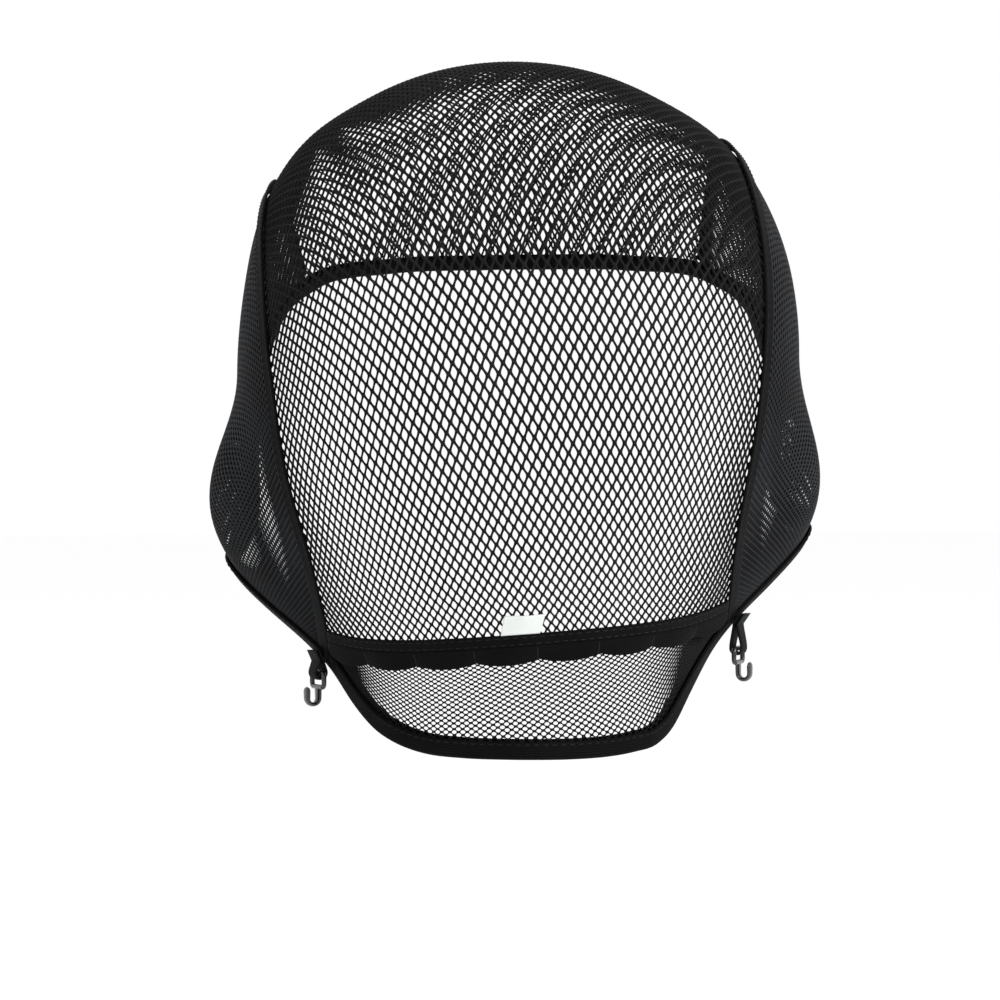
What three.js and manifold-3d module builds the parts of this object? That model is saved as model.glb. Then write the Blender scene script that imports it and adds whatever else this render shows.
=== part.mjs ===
// Net wig cap, in the form that it has on a head. Millimetres, +Z up, +Y towards the face.
// The origin is where the top of the head bears on the inside of the crown.
import * as THREE from "three";
import { mergeVertices } from "three/addons/utils/BufferGeometryUtils.js";
import Module from "manifold-3d";

const wasm = await Module();
wasm.setup();

// Head that the cap is stretched over
const headHeight = 197; // top of the crown to the edge at the nape
const headBreadth = 160;
const headBack = 99; // ear line to the back of the head
const headFront = 97; // ear line to the forehead

// Swell that a covered ear makes in the side of the cap
const earProud = 12.5;
const earDrop = 131; // top of the crown to the middle of the ears
const earSkew = 2.5; // how much higher than that the right ear sits, and how much lower the left one
const earBehind = 6; // middle of the ear behind the ear line
const earReachUp = 44;
const earReachDown = 46;
const earReachBack = 46;
const earReachFront = 32;

// Cloth, tape and stitching
const netWall = 1;
const tapeWall = 1;
const layerGap = 0.3; // between two layers that are sewn together
const seamTapeWidth = 4.6;
const backTapeHeight = 3.6;
const backTapeDrop = 163; // top of the crown to the middle of the back tape
const backTapeRise = 4.5; // how much higher its ends are than its middle
const napeBindingWidth = 6;
const faceBindingWidth = 4.5;
const bindingNose = 0.8; // length of the folded edge's taper
const capTilt = 4.2; // how far the cap has turned on the head, in degrees, seen from behind
const edgeSkew = 2.7; // how much lower the free edge sits on the right than evenly, where its skew is 1

// Tape of loops that the hooks are fastened in
const loopTapeHeight = 4.6;
const loopCount = 8;
const loopRise = 1.1; // how far a loop stands off the net
const loopScallop = 0.8; // how far a loop hangs below its tacks

// Size tag
const tagWidth = 9.8;
const tagHeight = 5.8;
const tagOffset = -4; // to the left of the middle of the back tape
const tagLean = 1.4; // how far its top edge is pulled to the right

// Elastic tabs and their hooks
const strapWidth = 7;
const strapLength = 9; // cap's edge to the bottom of the tab's loop
const strapTuck = 3.5; // how much shorter the left tab hangs than the right one
const strapOverlap = 3; // length sewn over the cap's corner
const hookBar = 1.6; // thickness of the hook's frame
const hookEyeHeight = 4; // between the middles of the frame's two bars
const hookLength = 9.6; // top bar to the bottom of the curl
const hookCurl = 1.7; // middle radius of the curl
const hookTip = 3.4; // length of the tip that turns up
const hookBlade = 1.3; // thickness of the curled blade
const hookBladeWidth = 4.6;
const hookPlay = 0.4; // room on each side of the tab in the hook's frame
const hookBevel = 0.4; // how far the edges of the frame's bars are cut back
const strapPast = 0.05; // how far the tab's outside goes past half a turn round the bar, in half turns
const strapParting = 0.6; // cap's edge down to where the tab's two leaves part

// How finely the cloth is divided
const crownColumns = 22;
const crownRows = 26;
const cornerRows = 3; // seam divisions below the back tape
const sideColumns = 13;
const napeRows = 5;
const loopSteps = 6; // divisions of one loop

// Level cuts of the head: drop from the top as a share of its height, reach to the side, the back
// and the front as shares of half its breadth and its two depths, how square the cut is, and how far
// its middle lies to the right, as a share of half the breadth.
const headLevels = [
  { drop: 0.0, side: 0.0, back: 0.0, front: 0.0, square: 2.0, sway: 0.0 },
  { drop: 0.02, side: 0.328, back: 0.3, front: 0.32, square: 2.0, sway: 0.0 },
  { drop: 0.056, side: 0.53, back: 0.49, front: 0.515, square: 2.05, sway: 0.0 },
  { drop: 0.112, side: 0.737, back: 0.675, front: 0.7, square: 2.1, sway: 0.004 },
  { drop: 0.203, side: 0.896, back: 0.845, front: 0.86, square: 2.15, sway: 0.012 },
  { drop: 0.33, side: 0.987, back: 0.957, front: 0.965, square: 2.2, sway: 0.024 },
  { drop: 0.467, side: 1.008, back: 1.0, front: 1.0, square: 2.2, sway: 0.018 },
  { drop: 0.609, side: 0.965, back: 0.972, front: 0.99, square: 2.2, sway: 0.0 },
  { drop: 0.761, side: 0.85, back: 0.855, front: 0.96, square: 2.15, sway: 0.0 },
  { drop: 0.863, side: 0.735, back: 0.745, front: 0.93, square: 2.1, sway: 0.0 },
  { drop: 1.0, side: 0.66, back: 0.645, front: 0.91, square: 2.1, sway: 0.0 },
  { drop: 1.1, side: 0.65, back: 0.63, front: 0.9, square: 2.1, sway: 0.0 },
];

// Free edge of the cap: turn round the head from the nape, in degrees, drop as a share of the height, and
// its skew, as a share of edgeSkew.
const capEdge = [
  { turn: 0, drop: 1.004, skew: 0 },
  { turn: 14, drop: 1.003, skew: 0.1 },
  { turn: 23, drop: 1.0, skew: 0.2 },
  { turn: 32, drop: 0.991, skew: 0.5 },
  { turn: 40, drop: 0.976, skew: 1 },
  { turn: 47, drop: 0.946, skew: 1.3 },
  { turn: 54, drop: 0.895, skew: 0.9 },
  { turn: 63, drop: 0.841, skew: -0.5 },
  { turn: 74, drop: 0.789, skew: -1.3 },
  { turn: 86, drop: 0.727, skew: -1.5 },
  { turn: 95, drop: 0.699, skew: -1.3 },
  { turn: 103, drop: 0.655, skew: -1.1 },
  { turn: 112, drop: 0.52, skew: -0.6 },
  { turn: 122, drop: 0.385, skew: -0.5 },
  { turn: 136, drop: 0.315, skew: -0.35 },
  { turn: 156, drop: 0.288, skew: -0.15 },
  { turn: 180, drop: 0.282, skew: 0 },
];

// Seams between the crown and the sides: turn over the head from the face, and spread from the
// middle, both in degrees about the middle of the head.
const seamLine = [
  { turn: 10, spread: 38 },
  { turn: 55, spread: 43.5 },
  { turn: 90, spread: 46.5 },
  { turn: 135, spread: 50.5 },
  { turn: 168, spread: 50 },
  { turn: 198, spread: 45.4 },
  { turn: 223, spread: 38.7 },
  { turn: 245, spread: 35 },
  { turn: 270, spread: 33 },
];

const middleDrop = 0.467; // level of the middle of the head, as a share of its height
const middle = new THREE.Vector3(0, 0, -middleDrop * headHeight);
const farOut = 2 * headHeight; // a ray this long always ends outside the head
const closeEnough = 1e-7; // where a search ends
const mostTries = 80;
const mergeWithin = 1e-5; // vertices that are nearer than this are one
const halfStep = 0.01; // step along a curve, each way, that gives its direction
const rayStep = 0.004; // step to each side of a ray that gives the head's normal
const edgeSampleCount = 1440;
const seamSampleCount = 200;
const samplesPerStep = 12;
const faceTurns = [5, 90]; // turns over the head between which the face edge lies
const tapeTurns = [150, 265]; // turns between which the back tape lies
const napeTurns = [200, 280]; // turns between which the nape edge lies
const seamEnd = 30; // most degrees from a seam's end to the end of its tape
const tiltAxis = new THREE.Vector3(0, 1, 0);
const upright = new THREE.Vector3(0, 0, 1);
const tapeLift = netWall + layerGap; // underside of a tape that lies on the net
const seamGap = layerGap; // net's edge to the line where two nets are joined
const slotDepth = bindingNose + 0.5 * tapeWall;
const netInset = slotDepth + layerGap; // net's edge to the folded edge of its binding
const cornerTrim = 3; // how far a net's pointed corner is cut back
const { degToRad, radToDeg, lerp } = THREE.MathUtils;

const materials = {
  crown: { color: 0x1a1a1b, roughness: 0.85, metalness: 0 },
  side: { color: 0x1d2023, roughness: 0.85, metalness: 0 },
  nape: { color: 0x1b1a1a, roughness: 0.85, metalness: 0 },
  tape: { color: 0x151517, roughness: 0.7, metalness: 0 },
  tag: { color: 0xeceee9, roughness: 0.5, metalness: 0 },
  elastic: { color: 0x121314, roughness: 0.75, metalness: 0 },
  hook: { color: 0x17191a, roughness: 0.3, metalness: 0 },
};

// Smooth value of one column of a table, at a place given in another of its columns.
function readTable(rows, key, column, at) {
  const last = rows.length - 1;
  let i = 0;
  while (i < last - 1 && at > rows[i + 1][key]) i += 1;
  const step = (k) => rows[k + 1][key] - rows[k][key];
  const slope = (k) => (rows[k + 1][column] - rows[k][column]) / step(k);
  const tangent = (k) => {
    if (k === 0) return slope(0);
    if (k === last) return slope(last - 1);
    return (slope(k - 1) * step(k) + slope(k) * step(k - 1)) / (step(k) + step(k - 1));
  };
  const t = THREE.MathUtils.clamp((at - rows[i][key]) / step(i), 0, 1);
  const rise = t * t * (3 - 2 * t);
  const enter = t * (1 - t) * (1 - t) * tangent(i) * step(i);
  const leave = t * t * (t - 1) * tangent(i + 1) * step(i);
  return lerp(rows[i][column], rows[i + 1][column], rise) + enter + leave;
}

// Place where a function that grows along an interval passes through zero, by false position, or
// the end of the interval that is nearest to it.
function zeroOf(grows, low, high) {
  let below = { at: low, value: grows(low) };
  let above = { at: high, value: grows(high) };
  if (below.value >= 0) return low;
  if (above.value <= 0) return high;
  let last = { at: Infinity, value: 0 };
  for (let i = 0; i < mostTries; i += 1) {
    const at = (below.at * above.value - above.at * below.value) / (above.value - below.value);
    const found = { at, value: grows(at) };
    const repeated = found.value < 0 === last.value < 0;
    if (Math.abs(at - last.at) < closeEnough) return at;
    if (found.value < 0) {
      below = found;
      if (repeated) above.value /= 2;
    } else {
      above = found;
      if (repeated) below.value /= 2;
    }
    last = { ...found };
  }
  return last.at;
}

// A level cut grows with the root of its drop, which makes the table smooth at the top of the head.
const levels = headLevels.map((row) => ({ ...row, root: Math.sqrt(row.drop) }));

// Share of a hump that is left at a distance from its middle, with its own reach each way.
function hump(distance, reachBelow, reachAbove) {
  const share = distance / (distance < 0 ? reachBelow : reachAbove);
  return Math.abs(share) < 1 ? Math.cos((share * Math.PI) / 2) ** 2 : 0;
}

function earSwell(x, y, z) {
  const height = z + earDrop - earSkew * Math.sign(x);
  const depth = y + earBehind;
  return earProud * hump(height, earReachDown, earReachUp) * hump(depth, earReachBack, earReachFront);
}

// Negative inside the head and positive outside it.
function outsideHead(x, y, z) {
  if (z >= 0) return 1;
  const root = Math.sqrt(-z / headHeight);
  const half = (column, length) => length * readTable(levels, "root", column, root);
  const aside = Math.abs(x - half("sway", headBreadth / 2));
  const side = Math.max(aside - earSwell(x, y, z), 0) / half("side", headBreadth / 2);
  const deep = Math.abs(y) / (y < 0 ? half("back", headBack) : half("front", headFront));
  const square = readTable(levels, "root", "square", root);
  return side ** square + deep ** square - 1;
}

// Where a ray from inside the head comes out of it.
function castRay(from, ray) {
  const at = (length) => from.clone().addScaledVector(ray, length);
  const length = zeroOf((l) => outsideHead(...at(l)), 0, farOut);
  return at(length);
}

// Outward normal of the head where a ray from its middle comes out.
function normalAlong(ray) {
  const across = new THREE.Vector3(1, 0, 0).cross(ray);
  if (across.length() < Math.abs(ray.x) * rayStep) across.set(0, 1, 0).cross(ray);
  across.setLength(rayStep);
  const along = ray.clone().cross(across).setLength(rayStep);
  const beyond = (offset, sign) => castRay(middle, ray.clone().addScaledVector(offset, sign).normalize());
  const first = beyond(across, 1).sub(beyond(across, -1));
  return first.cross(beyond(along, 1).sub(beyond(along, -1))).normalize();
}

// Point of the head nearest to the way out towards a place, lifted off it along the normal.
function onHead(towards, lift = 0) {
  const ray = towards.clone().sub(middle).normalize();
  return castRay(middle, ray).addScaledVector(normalAlong(ray), lift);
}

// Turn of a point round the head from the nape, in degrees, positive on the right.
const turnOf = (point) => radToDeg(Math.atan2(point.x, -point.y));

// Drop of the cap's free edge at a turn, which may go on past half a turn.
function edgeDrop(turn) {
  const wrapped = turn - 360 * Math.round(turn / 360);
  const read = (column) => readTable(capEdge, "turn", column, Math.abs(wrapped));
  return headHeight * read("drop") + edgeSkew * read("skew") * Math.sign(wrapped);
}

// The cap's free edge as a curve of its turn round the head.
function capEdgeAt(turn) {
  const axis = new THREE.Vector3(0, 0, -edgeDrop(turn));
  const ray = new THREE.Vector3(Math.sin(degToRad(turn)), -Math.cos(degToRad(turn)), 0);
  return castRay(axis, ray);
}

const belowEdge = (point) => -point.z - edgeDrop(turnOf(point));

// Nearest distance from a point to the cap's free edge.
const sampledTurn = (i) => (360 * i) / edgeSampleCount - 180;
const edgeSamples = Array.from({ length: edgeSampleCount }, (_, i) => capEdgeAt(sampledTurn(i)));
const nearest = (samples, point) => Math.min(...samples.map((sample) => sample.distanceTo(point)));
const edgeDistance = (point) => nearest(edgeSamples, point);

// Point of the tilted cap at a turn over the head and a spread to the side.
function capPoint(turn, spread) {
  const [over, out] = [degToRad(turn), degToRad(spread)];
  const level = Math.cos(out);
  const ray = new THREE.Vector3(Math.sin(out), level * Math.cos(over), level * Math.sin(over));
  return castRay(middle, ray.applyAxisAngle(tiltAxis, -degToRad(capTilt)));
}

const seamSpread = (turn) => readTable(seamLine, "turn", "spread", turn);
const crownPoint = (across, turn) => capPoint(turn, across * seamSpread(turn));

// Drop of a point below the top of the crown, measured square to the tilted cap.
function dropOnCap(point) {
  return -middle.z - point.clone().sub(middle).applyAxisAngle(tiltAxis, degToRad(capTilt)).z;
}

// Turns at which a column of the crown meets the face edge, the middle of the back tape, and the nape
// edge.
function turnAtFace(across) {
  const room = (turn) => {
    const point = crownPoint(across, turn);
    return edgeDistance(point) * Math.sign(-belowEdge(point)) - netInset;
  };
  return zeroOf(room, ...faceTurns);
}

function turnAtTape(across) {
  const wanted = backTapeDrop - backTapeRise * across ** 4;
  return zeroOf((turn) => dropOnCap(crownPoint(across, turn)) - wanted, ...tapeTurns);
}

const turnAtNape = (across) => zeroOf((turn) => belowEdge(crownPoint(across, turn)), ...napeTurns);

const seamAt = (side) => (turn) => crownPoint(side, turn);

// Middle line of the back tape, run on a little past the seams so that it has a direction there.
const tapePast = 1.1;
const tapeSamples = 44;
const tapeLine = new THREE.CatmullRomCurve3(
  Array.from({ length: tapeSamples + 1 }, (_, i) => {
    const across = lerp(-tapePast, tapePast, i / tapeSamples);
    return crownPoint(across, turnAtTape(across));
  }),
);
const tapeAt = (across) => tapeLine.getPoint((across / tapePast + 1) / 2);

// Point beside a curve on the head: up or inwards by a distance, and lifted off the head.
function beside(curve, at, distance, lift) {
  const point = curve(at);
  const along = curve(at + halfStep).sub(curve(at - halfStep));
  const ray = point.clone().sub(middle).normalize();
  const inwards = normalAlong(ray).cross(along).normalize();
  return onHead(point.addScaledVector(inwards, distance), lift);
}

// Places that divide a curve into steps of equal length.
function evenly(curve, from, to, steps) {
  const samples = samplesPerStep * steps;
  const place = (i) => lerp(from, to, i / samples);
  const lengths = [0];
  let last = curve(from);
  for (let i = 1; i <= samples; i += 1) {
    const next = curve(place(i));
    lengths.push(lengths[i - 1] + next.distanceTo(last));
    last = next;
  }
  const places = [];
  for (let step = 0; step <= steps; step += 1) {
    const wanted = (lengths[samples] * step) / steps;
    const i = lengths.findIndex((length) => length >= wanted - closeEnough);
    const part = i === 0 ? 0 : (wanted - lengths[i - 1]) / (lengths[i] - lengths[i - 1]);
    places.push(i === 0 ? from : lerp(place(i - 1), place(i), part));
  }
  return places;
}

// Length of one unit of a curve's place, to turn a distance into a change of place.
const perUnit = (curve, at) => curve(at + 0.5).distanceTo(curve(at - 0.5));

// Moves every vertex of a geometry to the place that a function gives, as one closed solid.
function shaped(geometry, place) {
  const bare = geometry.clone();
  bare.deleteAttribute("normal");
  bare.deleteAttribute("uv");
  const solid = mergeVertices(bare, mergeWithin);
  const position = solid.getAttribute("position");
  const point = new THREE.Vector3();
  for (let i = 0; i < position.count; i += 1) {
    point.fromBufferAttribute(position, i);
    const { x, y, z } = place(point.x, point.y, point.z);
    position.setXYZ(i, x, y, z);
  }
  if (signedVolume(solid) < 0) turnInsideOut(solid);
  solid.computeVertexNormals();
  return solid;
}

function signedVolume(geometry) {
  const position = geometry.getAttribute("position");
  const { index } = geometry;
  const corner = (i) => new THREE.Vector3().fromBufferAttribute(position, index.getX(i));
  let sum = 0;
  for (let i = 0; i < index.count; i += 3) sum += corner(i).dot(corner(i + 1).cross(corner(i + 2)));
  return sum / 6;
}

function turnInsideOut(geometry) {
  const { index } = geometry;
  for (let i = 0; i < index.count; i += 3) {
    const kept = index.getX(i);
    index.setX(i, index.getX(i + 1));
    index.setX(i + 1, kept);
  }
}

// A sheet of cloth: place is given the shares across and along it, from 0 to 1, and through its wall.
function sheet(across, along, place) {
  const block = new THREE.BoxGeometry(1, 1, 1, across, along, 1);
  return shaped(block, (x, y, z) => place(x + 0.5, y + 0.5, z + 0.5));
}

// A strip with a flat or folded section: place is given the section's x and y and the number of the station.
function strip(section, steps, place) {
  const block = new THREE.ExtrudeGeometry(section, { depth: 1, steps, bevelEnabled: false });
  return shaped(block, (x, y, z) => place(x, y, Math.round(z * steps)));
}

function rectangle(left, right, low, high) {
  const outline = new THREE.Shape();
  outline.moveTo(left, low).lineTo(right, low).lineTo(right, high).lineTo(left, high).closePath();
  return outline;
}

// Crown columns, and the stations of the seam on each side from the face edge to the nape corner.
const columns = Array.from({ length: crownColumns + 1 }, (_, j) => (2 * j) / crownColumns - 1);
const columnSpans = columns.map((across) => ({ face: turnAtFace(across), back: turnAtTape(across) }));

function seamStations(side) {
  const { face, back } = columnSpans[side < 0 ? 0 : crownColumns];
  const nape = turnAtNape(side);
  const end = nape - netInset / perUnit(seamAt(side), nape);
  const upper = Array.from({ length: crownRows + 1 }, (_, i) => lerp(face, back, i / crownRows));
  const lower = Array.from({ length: cornerRows }, (_, i) => lerp(back, end, (i + 1) / cornerRows));
  return [...upper, ...lower];
}

// Turns of the free edge where a side panel's rows end, from the face corner to the nape corner.
function sideEdgeTurns(side) {
  const faceCorner = turnOf(crownPoint(side, columnSpans[side < 0 ? 0 : crownColumns].face));
  const napeCorner = turnOf(crownPoint(side, turnAtNape(side)));
  const back = (corner, sign) => corner + (sign * side * cornerTrim) / perUnit(capEdgeAt, corner);
  return evenly(capEdgeAt, back(faceCorner, -1), back(napeCorner, 1), crownRows + cornerRows);
}

const seams = new Map([-1, 1].map((side) => [side, seamStations(side)]));

// Close samples of a seam's lower part, past the end of the back tape.
function lowerSeam(side) {
  const turn = (i) => lerp(napeTurns[0], napeTurns[1], i / seamSampleCount);
  return Array.from({ length: seamSampleCount + 1 }, (_, i) => crownPoint(side, turn(i)));
}

const seamSamples = new Map([-1, 1].map((side) => [side, lowerSeam(side)]));
const sideEdges = new Map([-1, 1].map((side) => [side, sideEdgeTurns(side)]));
const corners = new Map([-1, 1].map((side) => [side, turnOf(crownPoint(side, turnAtNape(side)))]));

function napeEdgeTurns() {
  const trim = (side) => corners.get(side) - (side * cornerTrim) / perUnit(capEdgeAt, corners.get(side));
  return evenly(capEdgeAt, trim(-1), trim(1), crownColumns);
}
const napeEdges = napeEdgeTurns();

// Crown net, from the face edge over the head to the back tape.
function crownNet() {
  return sheet(crownColumns, crownRows, (x, y, z) => {
    const j = Math.round(x * crownColumns);
    const { face, back } = columnSpans[j];
    const reach = headBack * degToRad(1);
    const turn = lerp(face, back - seamGap / reach, y);
    const edge = 1 - seamGap / (degToRad(seamSpread(turn)) * headBack);
    return onHead(crownPoint(columns[j] * edge, turn), z * netWall);
  });
}

// Point between two others, as seen from the middle of the head.
function between(first, second, share) {
  const start = first.clone().sub(middle).normalize();
  const end = second.clone().sub(middle).normalize();
  return start.lerp(end, share).normalize().add(middle);
}

// Net over one ear, between the seam and the free edge.
function sideNet(side) {
  const rows = crownRows + cornerRows;
  const ends = seams.get(side).map((turn, i) => ({
    seam: beside(seamAt(side), turn, side * seamGap, 0),
    bound: beside(capEdgeAt, sideEdges.get(side)[i], faceBindingWidth, 0),
    edge: beside(capEdgeAt, sideEdges.get(side)[i], netInset, 0),
  }));
  return sheet(sideColumns + 1, rows, (x, y, z) => {
    const { seam, bound, edge } = ends[Math.round(y * rows)];
    const column = Math.round(x * (sideColumns + 1));
    return onHead(column > sideColumns ? edge : between(seam, bound, column / sideColumns), z * netWall);
  });
}

// Net at the nape, between the back tape and the bound edge.
function napeNet() {
  const ends = columns.map((across, j) => ({
    tape: beside(tapeAt, across * (1 - cornerTrim / headBack), -seamGap, 0),
    edge: beside(capEdgeAt, napeEdges[j], netInset, 0),
  }));
  return sheet(crownColumns, napeRows, (x, y, z) => {
    const { tape, edge } = ends[Math.round(x * crownColumns)];
    return onHead(between(tape, edge, y), z * netWall);
  });
}

// First turn along a seam, from one end, where a tape of some width is clear of a binding.
function clearOfBinding(side, from, to, binding) {
  const clear = (turn) => {
    const sides = [-1, 1].map((edge) => beside(seamAt(side), turn, (edge * seamTapeWidth) / 2, 0));
    return Math.min(...sides.map(edgeDistance)) - binding - layerGap;
  };
  return zeroOf((share) => clear(lerp(from, to, share)), 0, 1) * (to - from) + from;
}

// Tape over the seam between the crown and one side.
function seamTape(side) {
  const stations = seams.get(side);
  const [face, nape] = [stations[0], stations[stations.length - 1]];
  const first = clearOfBinding(side, face, face + seamEnd, faceBindingWidth);
  const last = clearOfBinding(side, nape, nape - seamEnd, napeBindingWidth);
  const turns = [first, ...stations.filter((turn) => turn > first + 1 && turn < last - 1), last];
  const section = rectangle(-seamTapeWidth / 2, seamTapeWidth / 2, tapeLift, tapeLift + tapeWall);
  return strip(section, turns.length - 1, (x, y, i) => beside(seamAt(side), turns[i], x, y));
}

// How far along the back tape a line beside it stays clear of the seam tape and the nape binding.
function tapeEnd(side, distance) {
  const room = (share) => {
    const point = beside(tapeAt, side * share, distance, 0);
    const fromEdge = napeBindingWidth + layerGap - edgeDistance(point);
    const fromSeam = seamTapeWidth / 2 + layerGap - nearest(seamSamples.get(side), point);
    return Math.max(fromEdge, fromSeam);
  };
  return side * zeroOf(room, 0.5, 1);
}

// Tape that joins the crown to the nape.
function backTape() {
  const edges = [-backTapeHeight / 2, backTapeHeight / 2].map((distance) => ({
    distance,
    left: tapeEnd(-1, distance),
    right: tapeEnd(1, distance),
  }));
  return sheet(crownColumns, 1, (x, y, z) => {
    const { distance, left, right } = edges[Math.round(y)];
    return beside(tapeAt, lerp(left, right, x), distance, tapeLift + z * tapeWall);
  });
}

// Tape tacked down at even places, with a loop for the hooks between each two tacks.
function loopTape() {
  const top = -backTapeHeight / 2 - layerGap;
  const ends = [0, 0.5, 1].map((share) => {
    const distance = top - share * (loopTapeHeight + loopScallop);
    return { left: tapeEnd(-1, distance), right: tapeEnd(1, distance) };
  });
  return sheet(loopCount * loopSteps, 2, (x, y, z) => {
    const down = 1 - y;
    const { left, right } = ends[Math.round(down * 2)];
    const slack = Math.sin(Math.PI * ((x * loopCount) % 1)) * down;
    const distance = top - down * loopTapeHeight - slack * loopScallop;
    const lift = tapeLift + slack * loopRise + z * tapeWall;
    return beside(tapeAt, lerp(left, right, x), distance, lift);
  });
}

// Section of a folded binding: x runs in from the folded edge, and y is the lift off the head.
function foldedSection(width) {
  const [slotLow, slotHigh] = [-layerGap, tapeLift];
  const [low, high] = [slotLow - tapeWall, slotHigh + tapeWall];
  const fold = new THREE.Shape();
  fold.moveTo(0, (low + high) / 2);
  fold.lineTo(bindingNose, low).lineTo(width, low).lineTo(width, slotLow).lineTo(slotDepth, slotLow);
  fold.lineTo(slotDepth, slotHigh).lineTo(width, slotHigh).lineTo(width, high).lineTo(bindingNose, high);
  fold.closePath();
  return fold;
}

// Binding folded over the free edge, through the turns given.
function binding(width, turns) {
  return strip(foldedSection(width), turns.length - 1, (x, y, i) => beside(capEdgeAt, turns[i], x, y));
}

// Turns at which the two bindings part beside a nape corner, by one gap.
function parted(side, way) {
  const corner = corners.get(side);
  return corner + (way * layerGap) / 2 / perUnit(capEdgeAt, corner);
}

function napeBinding() {
  return binding(napeBindingWidth, [parted(-1, 1), ...napeEdges, parted(1, -1)]);
}

function faceBinding() {
  const wrapped = (turn) => (turn < 0 ? turn + 360 : turn);
  const face = columns.map((across, j) => turnOf(crownPoint(across, columnSpans[j].face)));
  const right = [...sideEdges.get(1)].reverse();
  const turns = [parted(1, 1), ...right, ...face.reverse(), ...sideEdges.get(-1), parted(-1, -1)];
  return binding(faceBindingWidth, turns.map(wrapped));
}

// Size tag, standing on the back tape's upper edge.
function sizeTag() {
  const low = backTapeHeight / 2 + layerGap;
  const length = perUnit(tapeAt, 0);
  return sheet(4, 2, (x, y, z) => {
    const sideways = tagOffset + (x - 0.5) * tagWidth + y * tagLean;
    return beside(tapeAt, sideways / length, low + y * tagHeight, tapeLift + z * tapeWall);
  });
}

// Frame at a nape corner: out of the head on the level, round the head, how far the head stands out
// over a tab's width, and how much it leans out going up.
function cornerFrame(side) {
  const point = capEdgeAt(corners.get(side));
  const normal = normalAlong(point.clone().sub(middle).normalize());
  const out = normal.clone().setZ(0).normalize();
  const round = upright.clone().cross(out);
  const proud = (up) => (aside) => {
    const from = point.clone().addScaledVector(out, -headBreadth / 4);
    from.addScaledVector(upright, up).addScaledVector(round, aside);
    return castRay(from, out).sub(point).dot(out);
  };
  const places = [-strapWidth / 2, 0, strapWidth / 2];
  const base = Math.max(...places.map(proud(0)));
  const top = Math.max(...places.map(proud(strapOverlap)));
  return { point, out, round, base, lean: (top - base) / strapOverlap };
}

// Where a tab's profile lies: x out of the head, y up from the cap's edge, z round the head.
function cornerPlace(side) {
  const { point, out, round, base, lean } = cornerFrame(side);
  const clear = base + (tapeLift + tapeWall + layerGap) * Math.hypot(1, lean) + tapeWall;
  return (x, y, z) =>
    point
      .clone()
      .addScaledVector(out, clear + x + Math.max(y, 0) * lean)
      .addScaledVector(upright, y)
      .addScaledVector(round, z);
}

const eyeRadius = hookBar / 2 + layerGap; // inside of the tab's loop round the bar
const barDropAt = (side) => strapLength - (side < 0 ? strapTuck : 0) - eyeRadius - tapeWall;

// Elastic tab, folded round the hook's top bar and sewn over the cap's corner.
function strap(side) {
  const outer = eyeRadius + tapeWall;
  const barDrop = barDropAt(side);
  const outline = new THREE.Shape();
  outline.moveTo(-tapeWall, strapOverlap).lineTo(-tapeWall, 0);
  outline.absarc(0, -barDrop, outer, Math.PI * (1 - strapPast), Math.PI * (2 + strapPast), false);
  outline.lineTo(tapeWall, 0).lineTo(tapeWall, strapOverlap).closePath();
  const loop = new THREE.Path();
  loop.moveTo(0, -strapParting).lineTo(-eyeRadius, -barDrop);
  loop.absarc(0, -barDrop, eyeRadius, Math.PI, Math.PI * 2, false);
  loop.closePath();
  outline.holes.push(loop);
  const block = new THREE.ExtrudeGeometry(outline, {
    depth: strapWidth,
    steps: 1,
    curveSegments: 10,
    bevelEnabled: false,
  });
  const place = cornerPlace(side);
  return shaped(block, (x, y, z) => place(x, y, z - strapWidth / 2));
}

const asManifold = (geometry) =>
  new wasm.Manifold(
    new wasm.Mesh({
      numProp: 3,
      vertProperties: new Float32Array(geometry.getAttribute("position").array),
      triVerts: new Uint32Array(geometry.index.array),
    }),
  );

function fromManifold(solid) {
  const { vertProperties, triVerts } = solid.getMesh();
  const geometry = new THREE.BufferGeometry();
  geometry.setAttribute("position", new THREE.BufferAttribute(new Float32Array(vertProperties), 3));
  geometry.setIndex(new THREE.BufferAttribute(new Uint32Array(triVerts), 1));
  geometry.computeVertexNormals();
  return geometry;
}

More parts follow.
